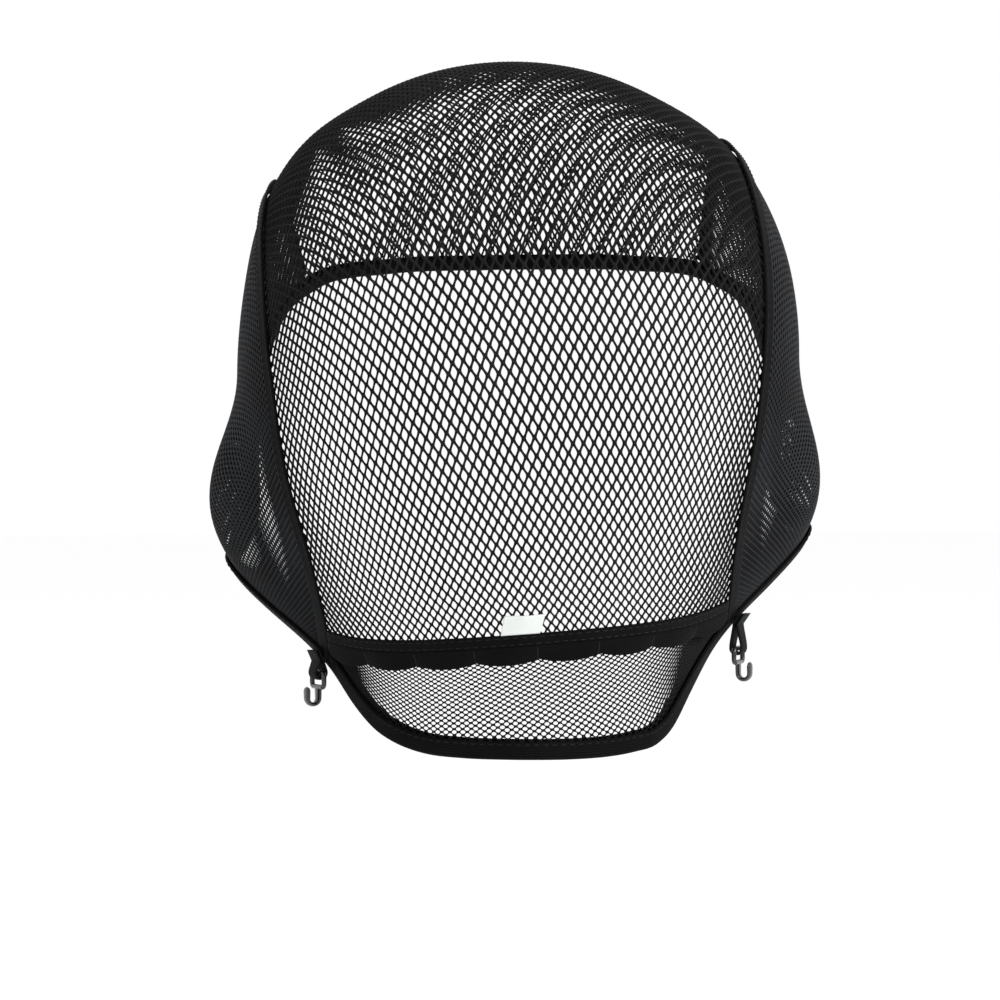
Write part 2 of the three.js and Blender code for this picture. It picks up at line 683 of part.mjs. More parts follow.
// Hook: a frame that the tab passes through, with a blade below it that curls outwards and up.
function hook(side) {
  const place = cornerPlace(side);
  const across = strapWidth + 2 * hookPlay;
  const barDrop = barDropAt(side);
  const high = -barDrop + hookBar / 2;
  const low = -barDrop - hookEyeHeight - hookBar / 2;
  const frame = rectangle(-across / 2 - hookBar, across / 2 + hookBar, low, high);
  frame.holes.push(rectangle(-across / 2, across / 2, low + hookBar, high - hookBar));
  const ring = new THREE.ExtrudeGeometry(frame, {
    depth: hookBar - 2 * hookBevel,
    steps: 1,
    bevelEnabled: true,
    bevelThickness: hookBevel,
    bevelSize: hookBevel,
    bevelOffset: -hookBevel,
    bevelSegments: 1,
  });
  const eye = shaped(ring, (x, y, z) => place(z - hookBar / 2 + hookBevel, y, x));

  const curlDrop = -barDrop - hookLength + hookCurl + hookBlade / 2;
  const [inner, outer] = [hookCurl - hookBlade / 2, hookCurl + hookBlade / 2];
  const blade = new THREE.Shape();
  blade.moveTo(-hookBlade / 2, low + hookBar / 2).lineTo(-hookBlade / 2, curlDrop);
  blade.absarc(hookCurl, curlDrop, outer, Math.PI, 2 * Math.PI, false);
  blade.lineTo(hookCurl + outer, curlDrop + hookTip - hookBlade / 2);
  blade.lineTo(2 * hookCurl, curlDrop + hookTip);
  blade.lineTo(hookCurl + inner, curlDrop + hookTip - hookBlade / 2);
  blade.lineTo(hookCurl + inner, curlDrop);
  blade.absarc(hookCurl, curlDrop, inner, 2 * Math.PI, Math.PI, true);
  blade.lineTo(hookBlade / 2, low + hookBar / 2).closePath();
  const curl = new THREE.ExtrudeGeometry(blade, {
    depth: hookBladeWidth,
    steps: 1,
    curveSegments: 8,
    bevelEnabled: false,
  });
  const tongue = shaped(curl, (x, y, z) => place(x, y, z - hookBladeWidth / 2));
  return fromManifold(asManifold(eye).add(asManifold(tongue)));
}

const cap = new THREE.Group();

function addPiece(name, geometry, material) {
  const mesh = new THREE.Mesh(geometry, new THREE.MeshStandardMaterial(material));
  mesh.name = name;
  cap.add(mesh);
}

addPiece("crown_net", crownNet(), materials.crown);
addPiece("nape_net", napeNet(), materials.nape);
addPiece("back_tape", backTape(), materials.tape);
addPiece("hook_loop_tape", loopTape(), materials.tape);
addPiece("nape_binding", napeBinding(), materials.tape);
addPiece("face_binding", faceBinding(), materials.tape);
addPiece("size_tag", sizeTag(), materials.tag);
for (const [name, side] of [["left", -1], ["right", 1]]) {
  addPiece(`side_net_${name}`, sideNet(side), materials.side);
  addPiece(`seam_tape_${name}`, seamTape(side), materials.tape);
  addPiece(`elastic_tab_${name}`, strap(side), materials.elastic);
  addPiece(`hook_${name}`, hook(side), materials.hook);
}

export default cap;
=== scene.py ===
"""Net wig cap in the form that it has on a head: nets, tapes, bindings, size tag, tabs and hooks.

Shapes are worked out in millimetres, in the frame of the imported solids, and are made in metres.
"""

import logging
import math
from collections.abc import Callable, Iterable
from dataclasses import dataclass
from enum import Enum
from functools import cached_property

import bmesh
import bpy
import numpy as np
from mathutils import Matrix, Vector


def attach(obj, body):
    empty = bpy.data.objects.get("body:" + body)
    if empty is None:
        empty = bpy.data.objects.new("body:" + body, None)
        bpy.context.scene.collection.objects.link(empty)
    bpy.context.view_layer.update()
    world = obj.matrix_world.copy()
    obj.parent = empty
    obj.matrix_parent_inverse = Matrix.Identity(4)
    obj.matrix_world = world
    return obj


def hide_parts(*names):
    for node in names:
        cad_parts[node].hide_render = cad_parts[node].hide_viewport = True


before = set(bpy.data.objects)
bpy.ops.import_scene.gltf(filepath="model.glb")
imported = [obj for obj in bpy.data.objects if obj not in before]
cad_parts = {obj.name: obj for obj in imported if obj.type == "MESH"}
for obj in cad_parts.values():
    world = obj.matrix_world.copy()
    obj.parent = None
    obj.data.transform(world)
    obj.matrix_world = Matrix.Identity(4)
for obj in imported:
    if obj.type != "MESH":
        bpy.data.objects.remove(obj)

log = logging.getLogger("wig_cap")
MM = 0.001
LEFT, RIGHT = -1, 1
SIDE_NAMES = {LEFT: "left", RIGHT: "right"}
Array = np.ndarray
Curve = Callable[[Array], Array]
Colour = tuple[float, float, float]
Socket = bpy.types.NodeSocket

# Vertices closer than MERGE become one, what is closer than NEAR to a line lies on it, and a number
# that something is divided by is kept above TINY.
MERGE = 1e-4
NEAR = 1e-3
TINY = 1e-9


def unit(vectors: Array) -> Array:
    """Vectors made one long."""
    return vectors / np.maximum(np.linalg.norm(vectors, axis=-1, keepdims=True), TINY)


def lerp(first: Array, second: Array, share: Array) -> Array:
    """Place at a share of the way between two others."""
    return first + (second - first) * share


def distances(places: Array) -> Array:
    """Distance run at each of some places in a row, from nought at the first."""
    return np.concatenate([[0], np.cumsum(np.linalg.norm(np.diff(places, axis=0), axis=-1))])


def run_length(places: Array) -> float:
    """Length of the way through some places in a row."""
    return float(np.linalg.norm(np.diff(places, axis=0), axis=-1).sum())


def nearest(samples: Array, p: Array) -> Array:
    """Distance from each place to the nearest of some samples."""
    gaps = [np.linalg.norm(q - samples, axis=-1).min() for q in p.reshape(-1, 3)]
    return np.array(gaps).reshape(p.shape[:-1])


def evenly(curve: Curve, start: float, end: float, steps: int, fineness: int = 12) -> Array:
    """Places that divide a curve into steps of equal length.

    Args:
        curve: the curve.
        start: place that the first step starts at.
        end: place that the last step ends at.
        steps: how many steps there are.
        fineness: how many samples of the curve a step is measured by.

    Returns:
        The places, one more than there are steps.
    """
    places = np.linspace(start, end, fineness * steps + 1)
    run = distances(curve(places))
    return np.interp(np.linspace(0, run[-1], steps + 1), run, places)


def solve(grows: Curve, low: Array, high: Array, halvings: int = 28) -> Array:
    """Zeros of a growing function, each in an interval of its own, by halving.

    Args:
        grows: function of an array that grows with each of its values.
        low: starts of the intervals.
        high: ends of the intervals.
        halvings: how often each interval is halved.

    Returns:
        The middles of the last intervals.
    """
    for _ in range(halvings):
        middle = (low + high) / 2
        past = grows(middle) > 0
        high = np.where(past, middle, high)
        low = np.where(past, low, middle)
    return (low + high) / 2


class Table:
    """A short table with named columns, read smoothly between its rows."""

    def __init__(self, names: str, rows: Iterable[tuple[float, ...]]) -> None:
        """Keeps the rows as one array for each column.

        Args:
            names: names of the columns, with spaces between them.
            rows: the rows, in the order of the first column.
        """
        values = np.array(list(rows), float)
        self.columns = {name: values[:, i] for i, name in enumerate(names.split())}

    def read(self, column: str, key: str, at: Array) -> Array:
        """Smooth value of one column.

        Args:
            column: name of the column that is read.
            key: name of the column that the places are given in.
            at: the places.

        Returns:
            One value for each place.
        """
        x, y = self.columns[key], self.columns[column]
        step = np.diff(x)
        slope = np.diff(y) / step
        inner = (slope[:-1] * step[1:] + slope[1:] * step[:-1]) / (step[1:] + step[:-1])
        tangent = np.concatenate([slope[:1], inner, slope[-1:]])
        i = np.clip(np.searchsorted(x, at, side="right") - 1, 0, len(x) - 2)
        t = np.clip((at - x[i]) / step[i], 0, 1)
        bend = t * (1 - t) ** 2 * tangent[i] + t * t * (t - 1) * tangent[i + 1]
        return lerp(y[i], y[i + 1], t * t * (3 - 2 * t)) + bend * step[i]


# Level cuts of the head: drop from the top as a share of its height, reach to the side, the back and
# the front as shares of half its breadth and its two depths, how square the cut is, and how far its
# middle lies to the right, as a share of half the breadth.
HEAD_LEVELS = Table("drop side back front square sway", (
    (0, 0, 0, 0, 2, 0),
    (0.02, 0.328, 0.3, 0.32, 2, 0),
    (0.056, 0.53, 0.49, 0.515, 2.05, 0),
    (0.112, 0.737, 0.675, 0.7, 2.1, 0.004),
    (0.203, 0.896, 0.845, 0.86, 2.15, 0.012),
    (0.33, 0.987, 0.957, 0.965, 2.2, 0.024),
    (0.467, 1.008, 1, 1, 2.2, 0.018),
    (0.609, 0.965, 0.972, 0.99, 2.2, 0),
    (0.761, 0.85, 0.855, 0.96, 2.15, 0),
    (0.863, 0.735, 0.745, 0.93, 2.1, 0),
    (1, 0.66, 0.645, 0.91, 2.1, 0),
    (1.1, 0.65, 0.63, 0.9, 2.1, 0),
))
HEAD_LEVELS.columns["root"] = np.sqrt(HEAD_LEVELS.columns["drop"])

# Free edge of the cap: turn round the head from the nape in degrees, drop as a share of the height, and
# how much lower the edge sits on the right than evenly, as a share of the skew.
CAP_EDGE = Table("turn drop skew", (
    (0, 1.004, 0),
    (14, 1.003, 0.1),
    (23, 1.0, 0.2),
    (32, 0.991, 0.5),
    (40, 0.976, 1),
    (47, 0.946, 1.3),
    (54, 0.895, 0.9),
    (63, 0.841, -0.5),
    (74, 0.789, -1.3),
    (86, 0.727, -1.5),
    (95, 0.699, -1.3),
    (103, 0.655, -1.1),
    (112, 0.52, -0.6),
    (122, 0.385, -0.5),
    (136, 0.315, -0.35),
    (156, 0.288, -0.15),
    (180, 0.282, 0),
))

# Seams between the crown and the sides: turn over the head from the face, and spread from the middle,
# both in degrees about the middle of the head.
SEAM_LINE = Table("turn spread", (
    (10, 38),
    (55, 43.5),
    (90, 46.5),
    (135, 50.5),
    (168, 50),
    (198, 45.4),
    (223, 38.7),
    (245, 35),
    (270, 33),
))

# Share of the crown's rows, and the share of the way from the face to the back tape that they reach.
CROWN_SPACING = Table("rows way", ((0, 0), (0.7, 0.7413), (0.85, 0.8868), (0.93, 0.9524), (1, 1)))


@dataclass(frozen=True)
class HeadForm:
    """The form that the cap is stretched over, as level cuts with a swell over each ear."""

    height: float = 197
    breadth: float = 160
    back: float = 99
    front: float = 97
    ear_proud: float = 12.5
    ear_drop: float = 131
    ear_skew: float = 2.5
    ear_behind: float = 6
    ear_reach_down: float = 46
    ear_reach_up: float = 44
    ear_reach_back: float = 46
    ear_reach_front: float = 32
    middle_drop: float = 0.467
    farthest: float = 1.2
    most_share: float = 9
    probe: float = 0.05

    @property
    def middle(self) -> Array:
        """The place that every ray over the head starts from."""
        return np.array([0, 0, -self.middle_drop * self.height])

    @staticmethod
    def hump(distance: Array, below: float, above: float) -> Array:
        """Share of a hump that is left at a distance from its middle, with its own reach each way."""
        share = np.clip(distance / np.where(distance < 0, below, above), -1, 1)
        return np.cos(share * math.pi / 2) ** 2

    def swell(self, p: Array) -> Array:
        """How far an ear pushes the side of the cap out.

        Args:
            p: places in the cap's frame.

        Returns:
            One distance for each place.
        """
        height = p[..., 2] + self.ear_drop - self.ear_skew * np.sign(p[..., 0])
        up = self.hump(height, self.ear_reach_down, self.ear_reach_up)
        depth = self.hump(p[..., 1] + self.ear_behind, self.ear_reach_back, self.ear_reach_front)
        return self.ear_proud * up * depth

    def outside(self, p: Array) -> Array:
        """How far outside the head places are, by the equation of its level cuts.

        Args:
            p: places in the cap's frame.

        Returns:
            One number for each place, negative inside the head and positive outside it.
        """
        root = np.sqrt(np.maximum(-p[..., 2], 0) / self.height)
        side, back, front, square, sway = (
            HEAD_LEVELS.read(name, "root", root) for name in ("side", "back", "front", "square", "sway")
        )
        side, back, front = (np.maximum(share, TINY) for share in (side, back, front))
        aside = np.abs(p[..., 0] - sway * self.breadth / 2)
        wide = np.maximum(aside - self.swell(p), 0) / (side * self.breadth / 2)
        deep = np.abs(p[..., 1]) / np.where(p[..., 1] < 0, back * self.back, front * self.front)
        wide, deep = (np.minimum(share, self.most_share) ** square for share in (wide, deep))
        return np.where(p[..., 2] >= 0, 1, wide + deep - 1)

    def cast(self, start: Array, ray: Array) -> Array:
        """Where rays from inside the head come out of it.

        Args:
            start: places that the rays start from, or one place for all of them.
            ray: directions of the rays, one long.

        Returns:
            One place of the head for each ray.
        """
        low = np.zeros(ray.shape[:-1])
        high = low + self.farthest * self.height
        length = solve(lambda run: self.outside(start + ray * run[..., None]), low, high)
        return start + ray * length[..., None]

    def normal(self, p: Array) -> Array:
        """Outward normals of the head at places on it."""
        steps = np.eye(3) * self.probe
        return unit(np.stack([self.outside(p + step) - self.outside(p - step) for step in steps], axis=-1))

    def on_head(self, towards: Array, lift: Array | float = 0.0) -> Array:
        """Places of the head on the way out towards others, lifted off it."""
        point = self.cast(self.middle, unit(towards - self.middle))
        return point + self.normal(point) * np.asarray(lift, float)[..., None]


@dataclass(frozen=True)
class CapLines:
    """The lines on the head that the cap's pieces meet along."""

    head: HeadForm = HeadForm()
    tilt: float = 4.2
    edge_skew: float = 2.7
    tape_drop: float = 163
    tape_rise: float = 4.5
    net_wall: float = 1
    tape_wall: float = 1
    layer_gap: float = 0.3
    seam_tape_width: float = 4.6
    nape_binding_width: float = 6
    face_binding_width: float = 4.5
    binding_nose: float = 0.8
    corner_trim: float = 3
    edge_samples: int = 1441
    tape_samples: int = 211
    tape_past: float = 1.05
    seam_samples: int = 200
    seam_end: tuple[float, float] = (200, 266)
    face_search: tuple[float, float] = (5, 90)
    tape_search: tuple[float, float] = (150, 265)
    nape_search: tuple[float, float] = (200.0, 280.0)

    @property
    def tape_lift(self) -> float:
        """Underside of a tape that lies on the net."""
        return self.net_wall + self.layer_gap

    @property
    def net_inset(self) -> float:
        """From the folded edge of a binding to the net's edge in it."""
        return self.binding_nose + self.tape_wall / 2 + self.layer_gap

    @staticmethod
    def turn_of(p: Array) -> Array:
        """Turn of places round the head from the nape, in degrees, positive on the right."""
        return np.degrees(np.arctan2(p[..., 0], -p[..., 1]))

    def edge_drop(self, turn: Array) -> Array:
        """Drop of the free edge.

        Args:
            turn: turns round the head from the nape, which may go on past half a turn.

        Returns:
            One drop for each turn.
        """
        wrapped = turn - 360 * np.round(turn / 360)
        drop, skew = (CAP_EDGE.read(name, "turn", np.abs(wrapped)) for name in ("drop", "skew"))
        return self.head.height * drop + self.edge_skew * skew * np.sign(wrapped)

    def edge(self, turn: Array) -> Array:
        """The free edge, as a curve of its turn round the head.

        Args:
            turn: turns round the head from the nape.

        Returns:
            One place of the edge for each turn.
        """
        turn = np.asarray(turn, float)
        level = np.zeros_like(turn)
        start = np.stack([level, level, -self.edge_drop(turn)], axis=-1)
        ray = np.stack([np.sin(np.radians(turn)), -np.cos(np.radians(turn)), level], axis=-1)
        return self.head.cast(start, ray)

    @cached_property
    def edge_line(self) -> Array:
        """Close samples of the whole free edge."""
        return self.edge(np.linspace(-180, 180, self.edge_samples))

    def edge_distance(self, p: Array) -> Array:
        """Nearest distance from each place to the free edge."""
        return nearest(self.edge_line, p)

    def below_edge(self, p: Array) -> Array:
        """How far places lie below the free edge's level, which is negative on the cap."""
        return -p[..., 2] - self.edge_drop(self.turn_of(p))

    def tilted(self, p: Array, degrees: float) -> Array:
        """Directions turned about the line through the face and the nape.

        Args:
            p: the directions.
            degrees: how far they turn, from the top to the right.

        Returns:
            The turned directions.
        """
        angle = math.radians(degrees)
        x = p[..., 0] * math.cos(angle) + p[..., 2] * math.sin(angle)
        z = p[..., 2] * math.cos(angle) - p[..., 0] * math.sin(angle)
        return np.stack([x, p[..., 1], z], axis=-1)

    def crown(self, across: Array, turn: Array) -> Array:
        """Places of the crown.

        Args:
            across: places across it, from -1 at the left seam to 1 at the right one.
            turn: turns over the head from the face.

        Returns:
            The places.
        """
        turn = np.asarray(turn, float)
        over = np.radians(turn)
        out = np.radians(across * SEAM_LINE.read("spread", "turn", turn))
        ray = np.stack([np.sin(out), np.cos(out) * np.cos(over), np.cos(out) * np.sin(over)], axis=-1)
        return self.head.cast(self.head.middle, self.tilted(ray, -self.tilt))

    def seam(self, side: int) -> Curve:
        """One seam, as a curve of its turn over the head."""
        return lambda turn: self.crown(float(side), turn)

    def face_turn(self, across: Array) -> Array:
        """Turns at which lines over the crown come to the binding at the face.

        Args:
            across: places of the lines across the crown.

        Returns:
            One turn over the head for each line.
        """
        def room(turn: Array) -> Array:
            """How far the lines have come past the binding."""
            p = self.crown(across, turn)
            return self.edge_distance(p) * np.sign(-self.below_edge(p)) - self.net_inset
        return solve(room, *(np.full_like(across, end) for end in self.face_search))

    def tape_turn(self, across: Array) -> Array:
        """Turns at which lines over the crown come to the middle of the back tape.

        Args:
            across: places of the lines across the crown.

        Returns:
            One turn over the head for each line.
        """
        def room(turn: Array) -> Array:
            """How far the lines have come below the tape's middle."""
            level = self.tilted(self.crown(across, turn) - self.head.middle, self.tilt)[..., 2]
            return -self.head.middle[2] - level - self.tape_drop + self.tape_rise * across ** 4
        return solve(room, *(np.full_like(across, end) for end in self.tape_search))

    def nape_turn(self, side: int) -> float:
        """Turn at which a seam comes to the free edge at the nape corner."""
        ends = (np.array(end) for end in self.nape_search)
        return float(solve(lambda turn: self.below_edge(self.crown(float(side), turn)), *ends))

    @cached_property
    def tape_line(self) -> tuple[Array, Array]:
        """Close samples of the back tape's middle line, and their places across the crown."""
        across = np.linspace(-self.tape_past, self.tape_past, self.tape_samples)
        return across, self.crown(across, self.tape_turn(across))

    def tape(self, across: Array) -> Array:
        """Middle line of the back tape, as a curve of the place across the crown."""
        places, line = self.tape_line
        return np.stack([np.interp(across, places, line[:, axis]) for axis in range(3)], axis=-1)

    @cached_property
    def corners(self) -> dict[int, float]:
        """Turn round the head of each nape corner."""
        ends = {side: self.crown(float(side), self.nape_turn(side)) for side in SIDE_NAMES}
        return {side: float(self.turn_of(end)) for side, end in ends.items()}

    @cached_property
    def face_corners(self) -> dict[int, float]:
        """Turn round the head of each corner at the face.

        Returns:
            The turns by side.
        """
        ends = {side: np.array([float(side)]) for side in SIDE_NAMES}
        return {
            side: float(self.turn_of(self.crown(end, self.face_turn(end)))[0]) for side, end in ends.items()
        }

    @cached_property
    def seam_lines(self) -> dict[int, Array]:
        """Close samples of the lower part of each seam."""
        turns = np.linspace(*self.seam_end, self.seam_samples)
        return {side: self.crown(float(side), turns) for side in SIDE_NAMES}

    def per_unit(self, curve: Curve, at: float) -> float:
        """Length of one unit of a curve, to turn a distance into a change of place."""
        ends = curve(np.array([at - 0.5, at + 0.5]))
        return float(np.linalg.norm(ends[1] - ends[0]))

    def beside(self, curve: Curve, at: Array, distance: Array, lift: Array, reach: float = 0.01) -> Array:
        """Places beside a curve on the head.

        Args:
            curve: a curve on the head.
            at: places along it.
            distance: how far up or inwards from it, with a row for each place along it.
            lift: how far off the head, in the same shape as distance.
            reach: half the step that gives the curve's direction.

        Returns:
            The places, in the shape of distance and lift together.
        """
        point = curve(at)
        along = curve(at + reach) - curve(at - reach)
        inwards = unit(np.cross(self.head.normal(point), along))
        distance, lift = np.broadcast_arrays(distance, lift)
        if distance.ndim == 1:
            return self.head.on_head(point + inwards * distance[:, None], lift)
        towards = point[:, None] + inwards[:, None] * distance[..., None]
        return self.head.on_head(towards, lift)

    def beside_tape(self, at: Array, distance: Array, lift: Array) -> Array:
        """Places beside the back tape's middle line, each with its own place along it."""
        at, distance, lift = np.broadcast_arrays(at, distance, lift)
        return self.beside(self.tape, at.ravel(), distance.ravel(), lift.ravel()).reshape(*at.shape, 3)

    def swept(self, curve: Curve, at: Array, section: Array) -> Array:
        """A section taken along beside a curve.

        Args:
            curve: a curve on the head.
            at: places along it.
            section: distance from the curve and lift of each place round the section.

        Returns:
            The places, as places along the curve by places round the section.
        """
        distance, lift = (np.broadcast_to(part, (len(at), len(section))) for part in section.T)
        return self.beside(curve, at, distance, lift)

    def tape_end(self, side: int, distance: float) -> float:
        """How far along the back tape a line beside it stays clear of its neighbours.

        Args:
            side: which end of the tape.
            distance: how far up from the tape's middle the line lies.

        Returns:
            The place across the crown at which the line ends.
        """
        def room(share: Array) -> Array:
            """How far the line has come past its nearer neighbour.

            Args:
                share: how far out its end is tried, as shares of the way to the seam.

            Returns:
                The distances, below nought where it is clear.
            """
            p = self.beside(self.tape, side * share, np.full_like(share, distance), 0.0)
            from_edge = self.nape_binding_width + self.layer_gap - self.edge_distance(p)
            from_seam = self.seam_tape_width / 2 + self.layer_gap - nearest(self.seam_lines[side], p)
            return np.maximum(from_edge, from_seam)
        return side * float(solve(room, np.array([0.5]), np.array([1.0]))[0])

    def clear_turn(self, side: int, start: float, end: float, binding: float) -> float:
        """First turn along a seam where its tape is clear of a binding.

        Args:
            side: which seam.
            start: turn at the binding.
            end: turn that is surely clear of it.
            binding: the binding's width.

        Returns:
            The turn over the head.
        """
        def room(share: Array) -> Array:
            """How far the tape has come clear of the binding.

            Args:
                share: where its end is tried, as shares of the way from the start to the end.

            Returns:
                The distances, above nought where it is clear.
            """
            half = self.seam_tape_width / 2
            p = self.beside(self.seam(side), lerp(start, end, share), np.array([[-half, half]]), 0.0)
            return self.edge_distance(p).min(axis=-1) - binding - self.layer_gap
        return float(lerp(start, end, solve(room, np.array([0.0]), np.array([1.0]))[0]))


class Nodes:
    """A material's nodes, added and joined in short calls."""

    def __init__(self, name: str) -> None:
        """Starts a material with its shader and output.

        Args:
            name: the material's name.
        """
        self.material = bpy.data.materials.new(name)
        self.material.use_nodes = True
        self.tree = self.material.node_tree
        self.shader = next(node for node in self.tree.nodes if node.type == "BSDF_PRINCIPLED")

    def fill(self, socket: Socket, value: object) -> None:
        """Sets an input, or joins an output to it.

        Args:
            socket: the input.
            value: its value, or the output that is joined to it.
        """
        if isinstance(value, Socket):
            self.tree.links.new(value, socket)
        else:
            socket.default_value = value

    def put(self, node: bpy.types.Node, sockets: dict[str, object]) -> None:
        """Fills a node's inputs by their names, in which _ stands for a space."""
        for name, value in sockets.items():
            self.fill(next(s for s in node.inputs if s.name == name.replace("_", " ") and s.enabled), value)

    def add(self, kind: str, settings: dict | None = None, **sockets: object) -> bpy.types.Node:
        """Adds a node.

        Args:
            kind: end of the node's type, after ShaderNode.
            settings: the node's own properties.
            sockets: values of its inputs, or the outputs that are joined to them.

        Returns:
            The node.
        """
        node = self.tree.nodes.new(f"ShaderNode{kind}")
        for name, value in (settings or {}).items():
            setattr(node, name, value)
        self.put(node, sockets)
        return node

    def work_out(self, operation: str, *values: object) -> Socket:
        """Works out a number that varies over the surface.

        Args:
            operation: what is done.
            values: numbers or outputs that it is done to, in order.

        Returns:
            The result.
        """
        node = self.add("Math", {"operation": operation})
        for socket, value in zip(node.inputs, values):
            self.fill(socket, value)
        return node.outputs[0]

    def noise(self, place: Socket, scale: float, **sockets: float) -> Socket:
        """Noise over the surface, at a number of patches in a metre."""
        return self.add("TexNoise", None, Vector=place, Scale=scale, **sockets).outputs["Fac"]

    def bump(self, height: Socket, strength: float, depth: float) -> Socket:
        """Normals of a relief whose depth is given in millimetres."""
        node = self.add("Bump", None, Strength=strength, Distance=depth * MM, Height=height)
        return node.outputs["Normal"]

    def mix(self, share: Socket, first: Colour, second: Colour, ends: tuple = (0.3, 0.7)) -> Socket:
        """Colour between two others, by a share that varies over the surface.

        Args:
            share: the share.
            first: colour at the lower end and under it.
            second: colour at the upper end and over it.
            ends: the two shares between which the colour changes.

        Returns:
            The colour.
        """
        node = self.add("ValToRGB", None, Fac=share)
        for element, end, colour in zip(node.color_ramp.elements, ends, (first, second)):
            element.position = end
            element.color = (*colour, 1)
        return node.outputs["Color"]

    def surface(self, **sockets: object) -> bpy.types.Material:
        """Sets the shader's inputs and returns the material."""
        self.put(self.shader, sockets)
        return self.material


@dataclass(frozen=True)
class YarnFinish:
    """Dull yarn of a net, with loose fibres and a little sheen."""

    name: str
    dark: Colour
    light: Colour
    roughness: float = 0.78
    shine: float = 0.1
    sheen: float = 0.01
    sheen_roughness: float = 0.5
    fibre: float = 0.35
    fibre_share: float = 0.5
    patch: float = 22
    relief: float = 0.25
    depth: float = 0.1

    def material(self) -> bpy.types.Material:
        """Makes the material.

        Returns:
            The material.
        """
        nodes = Nodes(self.name)
        place = nodes.add("TexCoord").outputs["Object"]
        fibres = nodes.noise(place, 1 / (self.fibre * MM), Detail=3)
        patches = nodes.noise(place, 1 / (self.patch * MM), Detail=2)
        blend = nodes.work_out("MULTIPLY_ADD", fibres, self.fibre_share, patches)
        shade = nodes.work_out("SUBTRACT", blend, self.fibre_share / 2)
        return nodes.surface(
            Base_Color=nodes.mix(shade, self.dark, self.light),
            Roughness=self.roughness,
            Specular_IOR_Level=self.shine,
            Sheen_Weight=self.sheen,
            Sheen_Roughness=self.sheen_roughness,
            Normal=nodes.bump(fibres, self.relief, self.depth),
        )


@dataclass(frozen=True)
class WovenFinish:
    """Narrow woven cloth, with ribs along it and threads across it, in millimetres of its own UV map."""

    name: str
    dark: Colour
    light: Colour
    rib: float = 0.55
    pick: float = 0.4
    pick_share: float = 0.45
    uneven: float = 0.6
    roughness: float = 0.6
    shine: float = 0.03
    sheen: float = 0.002
    sheen_roughness: float = 0.4
    relief: float = 0.5
    depth: float = 0.12
    worn_patches: float = 90
    wave_turn: float = 20

    def ridges(self, nodes: Nodes, place: Socket, axis: str, pitch: float) -> Socket:
        """Ridges at a pitch, across one axis of the UV map.

        Args:
            nodes: the material's nodes.
            place: the UV map.
            axis: name of the axis.
            pitch: distance from ridge to ridge.

        Returns:
            Height of the ridges, where a wave texture turns by wave_turn radians in a unit.
        """
        wave = nodes.add(
            "TexWave", {"bands_direction": axis}, Vector=place, Scale=2 * math.pi / (self.wave_turn * pitch),
            Distortion=self.uneven, Detail=2,
        )
        return wave.outputs["Fac"]

    def material(self) -> bpy.types.Material:
        """Makes the material.

        Returns:
            The material.
        """
        nodes = Nodes(self.name)
        places = nodes.add("TexCoord").outputs
        ribs = self.ridges(nodes, places["UV"], "Y", self.rib)
        picks = self.ridges(nodes, places["UV"], "X", self.pick)
        weave = nodes.work_out("MULTIPLY_ADD", picks, self.pick_share, ribs)
        worn = nodes.noise(places["Object"], self.worn_patches, Detail=4)
        return nodes.surface(
            Base_Color=nodes.mix(nodes.work_out("MULTIPLY", weave, worn), self.dark, self.light),
            Roughness=self.roughness,
            Specular_IOR_Level=self.shine,
            Sheen_Weight=self.sheen,
            Sheen_Roughness=self.sheen_roughness,
            Normal=nodes.bump(weave, self.relief, self.depth),
        )


@dataclass(frozen=True)
class GlossFinish:
    """Hard glossy coat over a smooth core, with faint scuffs."""

    name: str
    colour: Colour
    scuffed: Colour
    roughness: float = 0.22
    least_rough: float = 0.7
    most_rough: float = 1.6
    shine: float = 0.35
    coat: float = 0.25
    coat_roughness: float = 0.15
    relief: float = 0.08
    depth: float = 0.1
    scuffs: float = 900
    scuff_edge: float = 0.7

    def material(self) -> bpy.types.Material:
        """Makes the material.

        Returns:
            The material.
        """
        nodes = Nodes(self.name)
        place = nodes.add("TexCoord").outputs["Object"]
        scuffs = nodes.noise(place, self.scuffs, Detail=5, Roughness=self.scuff_edge)
        low, high = (self.roughness * share for share in (self.least_rough, self.most_rough))
        return nodes.surface(
            Base_Color=nodes.mix(scuffs, self.colour, self.scuffed),
            Roughness=nodes.add("MapRange", None, Value=scuffs, To_Min=low, To_Max=high).outputs["Result"],
            Specular_IOR_Level=self.shine,
            Coat_Weight=self.coat,
            Coat_Roughness=self.coat_roughness,
            Normal=nodes.bump(scuffs, self.relief, self.depth),
        )


@dataclass(frozen=True)
class StageFinish:
    """Even matt paint of the floor."""

    name: str
    colour: Colour
    roughness: float = 0.9

    def material(self) -> bpy.types.Material:
        """Makes the material."""
        return Nodes(self.name).surface(Base_Color=(*self.colour, 1), Roughness=self.roughness)


BLACK_WEAVE = ((0.0015, 0.0015, 0.0016), (0.004, 0.004, 0.0044))


